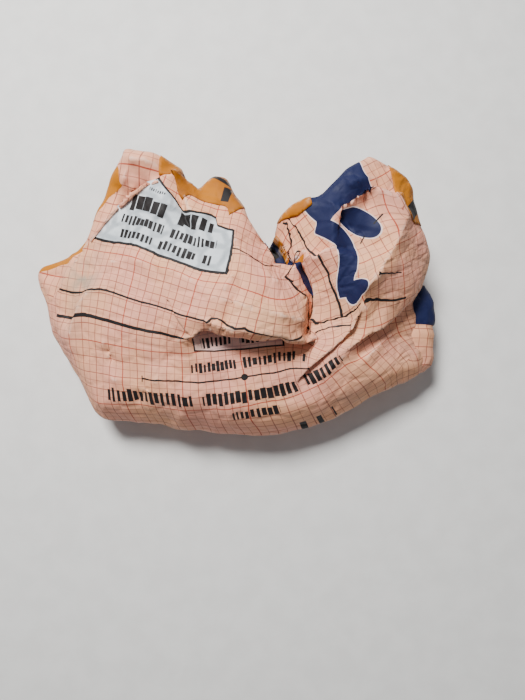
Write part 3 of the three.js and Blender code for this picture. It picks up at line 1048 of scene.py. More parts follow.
class Bench:
    """Adds a material's nodes, one method for each kind of work."""

    MIX_A, MIX_B, MIX_RESULT = 6, 7, 2
    NOISE_ROUGHNESS = 0.55
    MIDDLE_GREY = (0.5, 0.5, 0.5)
    WARP_WIDTH, WARP_SHARE = 1.7, 0.3

    def __init__(self, name: str) -> None:
        """Starts a material with an empty node tree."""
        self.material = bpy.data.materials.new(name)
        self.material.use_nodes = True
        self.tree = self.material.node_tree
        self.tree.nodes.clear()

    def node(self, kind: str, settings: dict[str, object] | None = None,
             inputs: dict[int | str, object] | None = None, output: int | str = 0) -> Wire:
        """Adds any node.

        Args:
            kind: the node's type name.
            settings: its properties, which are set first.
            inputs: its sockets by index or name, each a value or a wire.
            output: the socket that is returned.

        Returns:
            The output as a wire.
        """
        made = self.tree.nodes.new(kind)
        for key, value in (settings or {}).items():
            setattr(made, key, value)
        for key, value in (inputs or {}).items():
            if isinstance(value, Wire):
                self.tree.links.new(value.socket, made.inputs[key])
            else:
                made.inputs[key].default_value = value
        return Wire(self, made.outputs[output] if made.outputs else None)

    def math(self, operation: str, *operands: Wire | float) -> Wire:
        """Adds a Math node."""
        return self.node("ShaderNodeMath", {"operation": operation}, dict(enumerate(operands)))

    def blend(self, share: Wire | float, under: object, over: object) -> Wire:
        """Mixes two colours.

        Args:
            share: how much of the second shows.
            under: the first colour, as a wire or three numbers.
            over: the second colour.

        Returns:
            The mixed colour.
        """
        under, over = (c if isinstance(c, Wire) else (*c, 1.0) for c in (under, over))
        inputs = {0: share, self.MIX_A: under, self.MIX_B: over}
        return self.node("ShaderNodeMix", {"data_type": "RGBA", "clamp_factor": True}, inputs,
                         self.MIX_RESULT)

    def vector(self, operation: str, *operands: object) -> Wire:
        """Adds a Vector Math node, on two vectors or on one and a number that scales it.

        Args:
            operation: what the node does.
            operands: a vector, and a vector or a number.

        Returns:
            The resulting vector.
        """
        first, second = operands
        return self.node("ShaderNodeVectorMath", {"operation": operation},
                         {0: first, "Scale" if operation == "SCALE" else 1: second})

    def attribute(self, name: str) -> Wire:
        """Reads a number stored on the mesh."""
        return self.node("ShaderNodeAttribute", {"attribute_name": name}, output="Fac")

    def print_places(self) -> tuple[Wire, Wire, Wire]:
        """Reads where a point lay on the flat sheet.

        Returns:
            The place as a vector, and its two numbers.
        """
        place = self.vector("SCALE", self.node("ShaderNodeUVMap", {"uv_map": PRINT_MAP}), 1.0 / MM)
        split = self.node("ShaderNodeSeparateXYZ", inputs={0: place})
        return place, split, Wire(self, split.socket.node.outputs[1])

    def noise(self, place: Wire, width: float, detail: float = 3.0) -> Wire:
        """Adds soft random levels.

        Args:
            place: the vector.
            width: about how wide a spot is.
            detail: how many finer layers of spots it has.

        Returns:
            The level, from 0 to 1.
        """
        return self.node("ShaderNodeTexNoise", {"noise_dimensions": "3D"}, {
            "Vector": place, "Scale": 1.0 / width, "Detail": detail, "Roughness": self.NOISE_ROUGHNESS})

    def warped(self, place: Wire, width: float, amount: float) -> Wire:
        """Shifts a vector about by noise.

        Args:
            place: the vector.
            width: how wide the noise's spots are.
            amount: how far it shifts.

        Returns:
            The shifted vector.
        """
        spots = self.node("ShaderNodeTexNoise", {"noise_dimensions": "3D"},
                          {"Vector": place, "Scale": 1.0 / width, "Detail": 2.0}, "Color")
        centred = self.vector("SUBTRACT", spots, self.MIDDLE_GREY)
        return self.vector("ADD", place, self.vector("SCALE", centred, 2.0 * amount))

    def fine_creases(self, place: Wire, width: float, sharpness: float) -> Wire:
        """Adds a net of thin creases around cells about width millimetres across.

        Args:
            place: the vector.
            width: how wide a cell is.
            sharpness: how far from a crease the paper still bends, as a share of the width.

        Returns:
            0 on a crease and 1 on the flat cells.
        """
        cells = {"feature": "DISTANCE_TO_EDGE", "voronoi_dimensions": "2D"}
        bent = self.warped(place, self.WARP_WIDTH * width, self.WARP_SHARE * width)
        edges = self.node("ShaderNodeTexVoronoi", cells, {"Vector": bent, "Scale": 1.0 / width})
        return edges.ramp(0.0, sharpness)

    def surface(self, colour: Wire, roughness: Wire | float, height: Wire, depth: float,
                **constants: float) -> bpy.types.Material:
        """Finishes the material.

        Args:
            colour: its base colour.
            roughness: its roughness.
            height: its fine relief, from 0 to 1.
            depth: how deep that relief is.
            constants: other sockets of the shader, by name, with _ for a space.

        Returns:
            The material.
        """
        normal = self.node("ShaderNodeBump", None,
                           {"Strength": 1.0, "Distance": depth * MM, "Height": height})
        inputs = {"Base Color": colour, "Roughness": roughness, "Normal": normal}
        inputs.update({name.replace("_", " "): value for name, value in constants.items()})
        shader = self.node("ShaderNodeBsdfPrincipled", None, inputs)
        self.node("ShaderNodeOutputMaterial", None, {"Surface": shader})
        return self.material


@dataclass(frozen=True)
class Mottle:
    """Soft random spots over a finish, width millimetres across.

    The noise's levels from low to high give values from least to most.
    """

    width: float
    low: float
    high: float
    least: float = 0.0
    most: float = 1.0

    def on(self, bench: Bench, place: Wire) -> Wire:
        """Returns the spots' value at a place."""
        return bench.noise(place, self.width).ramp(self.low, self.high, self.least, self.most)


class Ink(Enum):
    """The sack's colours under plain light."""

    PAPER = linear(224, 154, 130)
    WARM_PAPER = linear(230, 166, 124)
    PALE = linear(226, 208, 204)
    FINE_LINE = linear(152, 84, 66)
    BOLD_LINE = linear(172, 68, 46)
    LABEL = linear(200, 205, 208)
    # LABEL_SHADE is painted shade: the label's darker grey along its creases.
    LABEL_SHADE = linear(164, 170, 174)
    BLACK = linear(26, 22, 22)
    BLUE = linear(18, 25, 62)
    ORANGE = linear(174, 104, 2)
    DEEP_ORANGE = linear(142, 80, 4)
    WORN = linear(234, 216, 198)
    # DUST_AND_SHADE greys the random stains and the plaster dust, and also paints the shade in the left
    # shoulder's valley.
    DUST_AND_SHADE = linear(150, 142, 124)


class Side(Enum):
    """The plain colours of the sack's other sides, by the name of the faces' mark for each."""

    ORANGE_SIDE = Ink.ORANGE.value
    BLUE_SIDE = Ink.BLUE.value
    DARK_SIDE = Ink.BLACK.value


@dataclass(frozen=True)
class Patch:
    """A printed rectangle on the flat face."""

    left: float
    right: float
    low: float
    high: float

    def distance(self, u: Wire, v: Wire) -> Wire:
        """Measures a place against the patch.

        Args:
            u: its first number on the flat sheet.
            v: its second.

        Returns:
            How far outside it is, less than 0 inside.
        """
        across = abs(u - (self.left + self.right) / 2.0) - (self.right - self.left) / 2.0
        along = abs(v - (self.low + self.high) / 2.0) - (self.high - self.low) / 2.0
        return across.most(along)


@dataclass(frozen=True)
class Plate:
    """A printed plate on the flat face, whose low and top edges run through places."""

    left: float
    right: float
    low: Places
    top: Places

    def distance(self, u: Wire, v: Wire) -> Wire:
        """Measures a place against the plate.

        Args:
            u: its first number on the flat sheet.
            v: its second.

        Returns:
            How far outside it is, less than 0 inside.
        """
        across = (self.left - u).most(u - self.right)
        low, top = (self._level(edge, u) for edge in (self.low, self.top))
        return across.most(low - v).most(v - top)

    @staticmethod
    def _level(edge: Places, u: Wire) -> Wire | float:
        """Works out how far up an edge is.

        Args:
            edge: the places that it runs through.
            u: how far to the right it is asked for.

        Returns:
            Its level there.
        """
        level: Wire | float = edge[0][1]
        for start, end in zip(edge, edge[1:]):
            level = u.slope(start[0], end[0], 0.0, end[1] - start[1]) + level
        return level


@dataclass(frozen=True)
class Line:
    """A printed line through places on the flat face."""

    places: Places
    half_width: float

    def distance(self, u: Wire, v: Wire) -> Wire:
        """Measures a place against the line.

        Args:
            u: its first number on the flat sheet.
            v: its second.

        Returns:
            How far outside it is, less than 0 inside.
        """
        nearest: Wire | float = FAR
        for (start_u, start_v), (end_u, end_v) in zip(self.places, self.places[1:]):
            du, dv = end_u - start_u, end_v - start_v
            across, along = u - start_u, v - start_v
            share = ((across * du + along * dv) / (du * du + dv * dv)).most(0.0).least(1.0)
            across, along = across - share * du, along - share * dv
            apart = u.bench.math("SQRT", across * across + along * along)
            nearest = apart.least(nearest)
        return nearest - self.half_width


@dataclass(frozen=True)
class Disc:
    """A printed oval, height times as tall as wide, that leans to the left."""

    u: float
    v: float
    radius: float
    height: float = 1.0
    lean: float = 0.0

    def distance(self, u: Wire, v: Wire) -> Wire:
        """Measures a place against the oval.

        Args:
            u: its first number on the flat sheet.
            v: its second.

        Returns:
            How far outside it is, less than 0 inside.
        """
        rise = v - self.v
        across, along = u - self.u + rise * self.lean, rise / self.height
        return u.bench.math("SQRT", across * across + along * along) - self.radius


@dataclass(frozen=True)
class Ribbon:
    """A printed wavy band that runs up the flat face.

    It sways to each side with a wave of that length for each radian. Within top_soft of its top it
    moves to the right and widens, and its foot slants up to its sides.
    """

    middle: float
    half_width: float
    low: float
    sway: float
    wave: float
    top: float
    top_shift: float
    top_widening: float
    top_soft: float = 5.0
    foot_slant: float = 0.45

    def distance(self, u: Wire, v: Wire) -> Wire:
        """Measures a place against the band.

        Args:
            u: its first number on the flat sheet.
            v: its second.

        Returns:
            How far outside it is, less than 0 inside.
        """
        upper = v.ramp(self.top - self.top_soft, self.top + self.top_soft)
        swing = u.bench.math("SINE", v / self.wave) * self.sway
        across = abs(u - self.middle - swing - upper * self.top_shift)
        side = across - self.half_width - upper * self.top_widening
        return side.most(self.low + across * self.foot_slant - v)


@dataclass(frozen=True)
class BarRow:
    """A row of printed upright bars of mixed widths, like the edge of a scale.

    Widths are shares of the step, and gap is half the blank after each group, in steps. A bar lacks up
    to short of its height at each end, by its random number times each of the shuffles.
    """

    patch: Patch
    step: float
    share: float
    group: float
    short: float
    least_width: float = 0.65
    more_width: float = 0.7
    gap: float = 0.8
    shuffles: tuple[float, float] = (7.0, 13.0)

    def distance(self, u: Wire, v: Wire) -> Wire:
        """Measures a place against the row's bars.

        Args:
            u: its first number on the flat sheet.
            v: its second.

        Returns:
            How far outside it is, less than 0 inside.
        """
        bench = u.bench
        cell = bench.math("FLOOR", u / self.step)
        chance = bench.node("ShaderNodeTexWhiteNoise", {"noise_dimensions": "1D"},
                            {"W": cell + self.patch.low})
        middle = cell * self.step + self.step / 2.0
        apart = abs(u - middle)
        bar = apart - (chance * self.more_width + self.least_width) * self.share * self.step / 2.0
        height = self.patch.high - self.patch.low
        above, below = (bench.math("WRAP", chance * shuffle, 1.0, 0.0) * self.short * height
                        for shuffle in self.shuffles)
        ends = (v - self.patch.high + above).most(self.patch.low + below - v)
        group = bench.math("PINGPONG", u - self.patch.left, self.group * self.step / 2.0)
        gap = self.step * self.gap - group
        return bar.most(ends).most(gap).most(self.patch.distance(u, v))


@dataclass(frozen=True)
class Net:
    """A net of fine creases between cells of a width, which makes up a share of the relief."""

    width: float
    sharpness: float
    share: float

    def on(self, bench: Bench, place: Wire) -> Wire:
        """Returns the net's share of the relief at a place."""
        return bench.fine_creases(place, self.width, self.sharpness) * self.share


@dataclass(frozen=True)
class PaperRelief:
    """The fine creases, fibres and soft waves of pressed, coated paper."""

    wide: Net = Net(21.0, 0.22, 0.6)
    narrow: Net = Net(8.0, 0.3, 0.2)
    patches: Mottle = Mottle(60.0, 0.42, 0.62)
    fibre_width: float = 0.7
    fibre_share: float = 0.05
    wave_width: float = 9.0
    wave_share: float = 0.35
    depth: float = 0.85

    def height(self, bench: Bench, place: Wire) -> Wire:
        """Adds the paper's fine relief.

        Args:
            bench: the material's bench.
            place: the flat place.

        Returns:
            The relief, from 0 to 1.
        """
        patches = self.patches.on(bench, place)
        creases = self.wide.on(bench, place) + self.narrow.on(bench, place) * patches
        fibres = bench.noise(place, self.fibre_width) * self.fibre_share
        return creases + fibres + bench.noise(place, self.wave_width) * self.wave_share


@dataclass(frozen=True)
class Wear:
    """How creases are rubbed, and how old stains and plaster dust lie on the print; the dust also paints
    the shade in the left shoulder's valley.
    """

    rubbing: Mottle = Mottle(6.0, 0.35, 0.65)
    rubbed_share: float = 0.4
    stains: Mottle = Mottle(70.0, 0.5, 0.72)
    stain_share: float = 0.2
    dust_and_shade: Mottle = Mottle(14.0, 0.25, 0.6)
    dust_and_shade_share: float = 0.8

    def over(self, bench: Bench, place: Wire, colour: Wire) -> Wire:
        """Wears and soils printed paper, and paints shade into the left shoulder's valley.

        Args:
            bench: the material's bench.
            place: the flat place.
            colour: the clean paper's colour.

        Returns:
            The colour with pale creases, stains, and dust that is also painted shade.
        """
        worn = bench.attribute("worn") * self.rubbing.on(bench, place)
        colour = bench.blend(worn * self.rubbed_share, colour, Ink.WORN.value)
        stained = self.stains.on(bench, place) * self.stain_share
        colour = bench.blend(stained, colour, Ink.DUST_AND_SHADE.value)
        # Painted shade as well as dust: the spots lie along the left shoulder's valley crease and darken
        # it.
        dust_and_shade_mask = bench.attribute("dust_and_shade") * self.dust_and_shade.on(bench, place)
        return bench.blend(dust_and_shade_mask * self.dust_and_shade_share, colour, Ink.DUST_AND_SHADE.value)


@dataclass(frozen=True)
class Ruling:
    """A printed square grid: its pitch, half the width of its lines, and how strong they are."""

    step: float
    half_width: float
    share: float


@dataclass(frozen=True)
class PrintedPaper:
    """The face's paper, printed with a ruled grid, rules, lines, rows of bars and a blue band. Two of the
    lines are also painted fold shadows, and the label is painted darker along its creases as shade.

    Places and widths are millimetres on the flat sheet, soft is how far to each side a printed edge
    is spread, and a share says how much of the colour under it a print covers.
    """

    soft: float = 0.22
    tone: Mottle = Mottle(80.0, 0.35, 0.65)
    grid: tuple[Ruling, ...] = (Ruling(7.5, 0.28, 0.72), Ruling(15.0, 0.4, 0.9))
    bold_across: tuple[float, ...] = (-180, -120, -60, 0, 105, 150, 225)
    bold_along: tuple[float, ...] = (-225, -150, -90, 0, 75)
    bold_half_width: float = 0.5
    bold_share: float = 0.8
    label: Plate = Plate(-260, -41, ((-41, 12),),
                         ((-124, 79), (-95, 61), (-78, 63), (-65, 67), (-60, 66),
                          (-57, 58), (-41, 52)))
    label_border: float = 1.3
    label_inset: float = 3.0
    # The label turns to its darker grey along a net of creases, which is painted crease shade, and in
    # soft random waves; label_shade is the range of that turn.
    label_crease_shade: Net = Net(16, 0.4, 0.6)
    label_wave_width: float = 9.0
    label_wave_share: float = 0.5
    label_shade: tuple[float, float] = (0.2, 0.7)
    frame: Plate = Plate(-46, 37, ((-46, -88.5), (-26, -92), (37, -95)), ((-46, -70),))
    frame_border: float = 0.8
    frame_share: float = 0.45
    rules: tuple[Patch, ...] = (
        Patch(-206, -44.5, -43, -41),
        Patch(-206, -52, -70.6, -67.4),
        Patch(-100, 68, -120.8, -119.2),
        Patch(-100.6, -99.4, -123, -117),
    )
    lines: tuple[Line, ...] = (
        Line(((-45.5, -42), (-42.5, -43.5), (-39, -39), (-31, -38), (-15, -42.5), (-8, -41.5), (0, -43),
            (19, -45), (43, -45)), 1),
        Line(((-41, 35), (-21, 32), (-12, 30), (-4, 28.5), (4, 26.5), (12, 27.5), (20, 30), (30, 33)),
            0.7),
        Line(((50, 38), (46, 29.5), (42, 20), (47, 17), (52, 14)), 1.1),
        Line(((61, -42), (64, -46), (70, -47.3), (76, -48), (87, -48.2), (93, -48), (101, -51)), 1.1),
        Line(((66, 85), (64.5, 79), (63.5, 72), (61, 65), (59.5, 61.5), (56, 60), (54, 56), (52.5, 49),
            (50, 42)), 0.9),
        Line(((73, 84), (77, 74), (79, 61), (78, 47), (77.5, 38)), 1.05),
        Line(((81.5, 24), (80, 13), (81, 2), (80, -7), (81, -18), (82, -34), (83, -48.5)), 1.05),
        # These two lines are print borders and also painted fold shadows along the ledge's fold.
        Line(((50, 38.5), (58, 36), (63, 35)), 0.8),
        Line(((50.5, 41), (56, 44), (61, 47), (65, 48), (69, 50)), 0.8),
        Line(((63, -59.5), (71, -60.5), (76, -62), (82, -64), (89, -65)), 1.4),
        Line(((105.5, -58.5), (109, -62), (116, -65), (123, -68), (130, -69.3), (137, -70.3),
            (151, -72)), 1.3),
        Line(((121.5, -34), (127, -37.5), (133, -39), (140, -39.4), (147.5, -40.2)), 0.8),
        Line(((118, 20), (124, 24)), 0.6),
        Line(((136, 31), (145, 37)), 0.7),
    )
    marker: Disc = Disc(0, -120, 3.2)
    rows: tuple[BarRow, ...] = (
        BarRow(Patch(-55, 58, -112, -101), 4.4, 0.64, 12, 0.2),
        BarRow(Patch(-20, 24, -165, -154), 4.6, 0.64, 30, 0.2),
        BarRow(Patch(22, 62, -206, -184), 14, 0.4, 9, 0.2),
        BarRow(Patch(-42, 32, -89, -77.5), 4.2, 0.62, 9, 0.2),
        BarRow(Patch(-142, 92, -147.5, -131.5), 5.6, 0.72, 17, 0.2),
    )
    label_rows: tuple[BarRow, ...] = (
        BarRow(Patch(-150, -56, 16.5, 27), 4.6, 0.68, 9, 0.22),
        BarRow(Patch(-154, -48, 30.5, 41), 4.3, 0.68, 12, 0.22),
        BarRow(Patch(-152, -58, 44.5, 61), 8.2, 0.8, 6, 0.2),
        BarRow(Patch(-132, -50, 66, 69.5), 2, 0.5, 10, 0.3),
    )
    band: Ribbon = Ribbon(middle=98, half_width=8, low=-33, sway=6, wave=17, top=60,
                          top_shift=33, top_widening=24)
    discs: tuple[Disc, ...] = (Disc(126, 36, 12, 1.4, 0.4), Disc(101, -32, 11, 1.2))
    spot: Disc = Disc(59, 42, 4.5)
    halo: float = 0.8
    wear: Wear = Wear()
    relief: PaperRelief = PaperRelief()
    gloss: Mottle = Mottle(12.0, 0.3, 0.7, 0.6, 0.76)
    shine: float = 0.25

    def material(self) -> bpy.types.Material:
        """Builds the finish.

        Returns:
            The material.
        """
        bench = Bench("printed_paper")
        place, u, v = bench.print_places()
        colour = self.wear.over(bench, place, self._grid(bench, place, u, v))
        colour = self._band(bench, u, v, colour)
        colour = self._panels(bench, place, u, v, colour)
        for side in Side:
            colour = bench.blend(bench.attribute(side.name.lower()), colour, side.value)
        roughness = self.gloss.on(bench, place)
        return bench.surface(colour, roughness, self.relief.height(bench, place), self.relief.depth,
                             Specular_IOR_Level=self.shine)

    def _stroke(self, distance: Wire, half_width: float = 0.0) -> Wire:
        """Returns 1 within half_width of where distance is 0."""
        return distance.ramp(half_width - self.soft, half_width + self.soft, 1.0, 0.0)

    def _grid(self, bench: Bench, place: Wire, u: Wire, v: Wire) -> Wire:
        """Prints the fine grid and its bold lines on bare paper.

        Args:
            bench: the material's bench.
            place: the flat place.
            u: how far to the right it lies.
            v: how far up.

        Returns:
            The paper's colour.
        """
        colour = bench.blend(self.tone.on(bench, place), Ink.PAPER.value, Ink.WARM_PAPER.value)
        for ruling in self.grid:
            across, along = (bench.math("PINGPONG", line, ruling.step / 2.0) for line in (u, v))
            share = self._stroke(across.least(along), ruling.half_width) * ruling.share
            colour = bench.blend(share, colour, Ink.FINE_LINE.value)
        bold: Wire | float = FAR
        for line, at in ((u, self.bold_across), (v, self.bold_along)):
            for middle in at:
                bold = abs(line - middle).least(bold)
        share = self._stroke(bold, self.bold_half_width) * self.bold_share
        return bench.blend(share, colour, Ink.BOLD_LINE.value)

    def _panels(self, bench: Bench, place: Wire, u: Wire, v: Wire, colour: Wire) -> Wire:
        """Prints the label, with painted shade along its creases, the frame, the rules, the lines, the
        marker and the rows of bars.

        Args:
            bench: the material's bench.
            place: the flat place.
            u: how far to the right it lies.
            v: how far up.
            colour: the paper's colour so far.

        Returns:
            Its colour with these on it.
        """
        label = self.label.distance(u, v)
        # Painted shade: the label is darker grey along its creases and in soft random waves.
        painted_crease_shade = (self.label_crease_shade.on(bench, place)
                 + bench.noise(place, self.label_wave_width) * self.label_wave_share)
        silver = bench.blend(painted_crease_shade.ramp(*self.label_shade), Ink.LABEL_SHADE.value, Ink.LABEL.value)
        colour = bench.blend(self._stroke(label), colour, silver)
        frame = self.frame.distance(u, v)
        colour = bench.blend(self._stroke(frame) * self.frame_share, colour, Ink.PALE.value)
        black = (abs(label) - self.label_border).least(abs(frame) - self.frame_border)
        for row in self.label_rows:
            black = black.least(row.distance(u, v).most(label + self.label_inset))
        # The lines include two painted fold shadows.
        for shape in (self.marker, *self.rules, *self.lines, *self.rows):
            black = black.least(shape.distance(u, v))
        return bench.blend(self._stroke(black), colour, Ink.BLACK.value)

    def _band(self, bench: Bench, u: Wire, v: Wire, colour: Wire) -> Wire:
        """Prints the blue band and ovals, with a pale edge round them.

        Args:
            bench: the material's bench.
            u: how far to the right a place lies.
            v: how far up.
            colour: the paper's colour so far.

        Returns:
            Its colour with these on it.
        """
        distance = self.band.distance(u, v)
        for disc in self.discs:
            distance = distance.least(disc.distance(u, v))
        pale = (distance - self.halo).least(self.spot.distance(u, v))
        colour = bench.blend(self._stroke(pale), colour, Ink.PALE.value)
        return bench.blend(self._stroke(distance), colour, Ink.BLUE.value)


@dataclass(frozen=True)
class OrangePaper:
    """The bottom cover sheet's orange paper, with a few plain dark and blue shapes; the wide dark block
    in the notch's throat is painted shade.
    """

    soft: float = 0.25
    tone: Mottle = Mottle(40.0, 0.35, 0.65)
    wave_middle: float = 108.0
    wave_sway: float = 3.4
    wave_length: float = 7.0
    wave_half_width: float = 2.6
    wave_from: float = -92.0
    wave_to: float = -40.0
    blue_patches: tuple[Patch, ...] = (Patch(-112, -84, 101, 150), Patch(-10, 60, 24, 50),
                                       Patch(-10, 38, 50, 90))
    # Printed dark marks, and the wide block from u -10 to 28, which paints the shade deep in the notch's
    # throat.
    dark_print_and_shade_patches: tuple[Patch, ...] = (Patch(-60, -52, 84, 99), Patch(177, 230, 20, 36),
                                       Patch(-10, 28, 74, 96), Patch(38, 41, 50, 96))
    wear: Wear = Wear()
    relief: PaperRelief = PaperRelief()
    roughness: float = 0.68
    shine: float = 0.25

    def material(self) -> bpy.types.Material:
        """Builds the finish.

        Returns:
            The material.
        """
        bench = Bench("orange_paper")
        place, u, v = bench.print_places()
        colour = bench.blend(self.tone.on(bench, place), Ink.ORANGE.value, Ink.DEEP_ORANGE.value)
        # The dark patches are print, except the wide one in the throat, which is painted shade.
        for patches, ink in ((self.blue_patches, Ink.BLUE), (self.dark_print_and_shade_patches, Ink.BLACK)):
            for patch in patches:
                share = patch.distance(u, v).ramp(-self.soft, self.soft, 1.0, 0.0)
                colour = bench.blend(share, colour, ink.value)
        colour = bench.blend(self._wave(bench, u, v), colour, Ink.BLACK.value)
        colour = self.wear.over(bench, place, colour)
        return bench.surface(colour, self.roughness, self.relief.height(bench, place), self.relief.depth,
                             Specular_IOR_Level=self.shine)

    def _wave(self, bench: Bench, u: Wire, v: Wire) -> Wire:
        """Draws a plain dark wavy stripe.

        Args:
            bench: the material's bench.
            u: how far to the right a place lies.
            v: how far up.

        Returns:
            1 on the stripe and 0 off it.
        """
        above = v - self.wave_middle
        swing = bench.math("SINE", u / self.wave_length) * self.wave_sway
        apart = abs(above - swing) - self.wave_half_width
        ends = (self.wave_from - u).most(u - self.wave_to)
        return apart.most(ends).ramp(-self.soft, self.soft, 1.0, 0.0)


def mesh_object(name: str, points: Array, faces: Sequence[Sequence[int]], flat: Array,
                material: bpy.types.Material) -> bpy.types.Object:
    """Makes a smooth mesh piece.

    Args:
        name: the piece's name.
        points: N x 3 points.
        faces: lists of point numbers.
        flat: the flat place of every face corner in order.
        material: its finish.

    Returns:
        The new object, in the scene.
    """
    mesh = bpy.data.meshes.new(name)
    mesh.from_pydata((points * MM).tolist(), [], faces)
    layer = mesh.uv_layers.new(name=PRINT_MAP)
    layer.data.foreach_set("uv", (flat * MM).astype(np.float32).ravel())
    mesh.shade_smooth()
    mesh.materials.append(material)
    piece = bpy.data.objects.new(name, mesh)
    bpy.context.scene.collection.objects.link(piece)
    return piece


def store(piece: bpy.types.Object, name: str, values: Array, domain: str = "POINT") -> None:
    """Stores numbers on a piece for its material to read.

    Args:
        piece: the piece.
        name: what the material calls them.
        values: a number for each point or face.
        domain: POINT or FACE.
    """
    layer = piece.data.attributes.new(name, "FLOAT", domain)
    layer.data.foreach_set("value", values.astype(np.float32))


@dataclass(frozen=True)
class SideFold:
    """A fold of the sack's side that bulges out from under the upper lobe.

    A squareness under 1 squares its section, and end_margin keeps its ends from closing to a point.
    The flat sizes lay its print out beside the rest.
    """

    edge: Points
    inner_x: float = 168.0
    half_height: float = 17.0
    blue_above: float = -22.5
    steps: int = 60
    turns: int = 22
    squareness: float = 0.75
    end_margin: float = 0.03
    taper_power: float = 0.35
    flat_length: float = 100.0
    flat_turn: float = 22.0
    flat_start: float = -430.0
    dents: tuple[Crumple, ...] = (Crumple(17.0, 2.0), Crumple(8.0, 0.8))
    seed: int = 71

    def shape(self) -> tuple[Array, Array, Array]:
        """Works out the fold's skin.

        Returns:
            Its points, its quads, and the flat place of each point.
        """
        spread = Run(self.edge).resampled(1.0)
        rows = spread[np.linspace(0, len(spread) - 1, self.steps).astype(int)]
        along = np.linspace(0.0, 1.0, self.steps)[:, None]
        around = np.linspace(0.0, math.pi, self.turns)[None, :]
        kept = along * (1.0 - 2.0 * self.end_margin) + self.end_margin
        taper = np.sin(math.pi * np.clip(kept, 0.0, 1.0)) ** self.taper_power
        out = np.sin(around) ** self.squareness
        x = self.inner_x + (rows[:, :1] - self.inner_x) * out
        y = np.broadcast_to(rows[:, 1:2], x.shape)
        z = rows[:, 2:3] + self.half_height * taper * np.cos(around)
        points = np.stack([x, y, z], axis=2).reshape(-1, 3)
        index = np.arange(self.steps * self.turns).reshape(self.steps, self.turns)
        quads = np.stack([index[:-1, :-1], index[:-1, 1:], index[1:, 1:], index[1:, :-1]], axis=2)
        quads = quads.reshape(-1, 4)
        flat = np.stack([np.broadcast_to(along * self.flat_length, x.shape) + self.flat_start,
                         np.broadcast_to(around * self.flat_turn, x.shape)], axis=2).reshape(-1, 2)
        dents = sum(dent.height * Facets(self.seed + number, dent.pitch, flat).at(flat)
                    for number, dent in enumerate(self.dents))
        halves = np.concatenate([quads[:, [0, 1, 2]], quads[:, [0, 2, 3]]])
        return points + normals_of(points, halves) * dents[:, None], quads, flat


@dataclass
class PaperTube:
    """The sack's printed paper, with its areas of other colours in plan.

    Its sides are orange from orange_from on, but not at the plain corner, right of that place and
    below it.
    """

    skin: SackSkin
    side_fold: SideFold
    orange_areas: tuple[Places, ...]
    blue_areas: tuple[Places, ...]
    dark_areas: tuple[Places, ...]
    orange_from: float = 33.0
    plain_corner: Place = (160.0, 70.0)

    def build(self) -> bpy.types.Object:
        """Makes the piece that stands for the paper tube.

        Returns:
            The piece.
        """
        skin = self.skin
        fold_points, fold_quads, fold_flat = self.side_fold.shape()
        faces = skin.face.faces.tolist() + skin.sides.tolist() + skin.underside.tolist()
        faces += (fold_quads + len(skin.points)).tolist()
        under = skin.points[skin.underside.ravel(), :2] + UNDERSIDE_PRINT
        flat = np.concatenate([skin.top_flat.reshape(-1, 2), skin.side_flat.reshape(-1, 2), under,
                               fold_flat[fold_quads.ravel()]])
        points = np.concatenate([skin.points, fold_points])
        piece = mesh_object("sack_paper", points, faces, flat, PrintedPaper().material())
        spare = np.zeros(len(fold_points))
        store(piece, "worn", np.concatenate([worn_creases(skin.points, skin.faces), spare]))
        # Plaster dust and painted shade along the left shoulder's valley.
        store(piece, "dust_and_shade", np.concatenate([dust_and_shade_on(skin.points), spare]))
        on_fold = np.zeros(len(fold_quads))
        blue = fold_points[fold_quads, 1].mean(1) > self.side_fold.blue_above
        below = np.zeros(len(skin.sides) + len(skin.underside))
        parts = {Side.ORANGE_SIDE: (self._orange_faces(), on_fold),
                 Side.BLUE_SIDE: (self._within_any(self.blue_areas), below, blue),
                 Side.DARK_SIDE: (self._within_any(self.dark_areas), below, on_fold)}
        for side, values in parts.items():
            store(piece, side.name.lower(), np.concatenate(values), "FACE")
        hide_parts("paper_tube")
        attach(piece, "root")
        return piece

    def _orange_faces(self) -> Array:
        """Finds the faces on the sack's orange sides.

        Returns:
            1 for each of these and 0 for the rest of the skin's faces.
        """
        skin = self.skin
        on_top = self._within_any(self.orange_areas)
        rim_at = skin.face.points[skin.face.rim_points]
        plain = (rim_at[:, 0] > self.plain_corner[0]) & (rim_at[:, 1] < self.plain_corner[1])
        north = (rim_at[:, 1] > self.orange_from) & ~plain
        on_sides = np.tile(north, skin.levels)
        return np.concatenate([on_top, on_sides, np.zeros(len(skin.underside))]).astype(float)

    def _within_any(self, areas: Iterable[Iterable[Place]]) -> Array:
        """Finds the upper face's triangles in some areas of the plan.

        Args:
            areas: closed rings of places.

        Returns:
            A truth value for each triangle.
        """
        centres = self.skin.face.plan[self.skin.face.faces].mean(1)
        inside = np.zeros(len(centres), bool)
        for area in areas:
            inside |= within(centres, np.array(area))
        return inside


RUBBED_FROM = 0.26
RUBBED_OVER = 0.4


def worn_creases(points: Array, faces: Array) -> Array:
    """Finds the sharpest creases.

    Args:
        points: N x 3 points.
        faces: M x 3 triangles.

    Returns:
        How far each point's crease is rubbed to bare fibre, from 0 to 1.
    """
    first, second = links_of(faces)
    count = len(points)
    degree = np.bincount(first, minlength=count) + np.bincount(second, minlength=count)
    means = np.stack([np.bincount(first, points[second, axis], count)
                      + np.bincount(second, points[first, axis], count) for axis in range(3)], axis=1)
    means /= np.maximum(degree, 1)[:, None]
    outward = ((points - means) * normals_of(points, faces)).sum(1)
    return ease((outward - RUBBED_FROM) / RUBBED_OVER)


@dataclass(frozen=True)
class DustAndShadeSpot:
    """A spot in plan of plaster dust and painted shade, thickest in its middle."""

    x: float
    y: float
    reach: float
    share: float


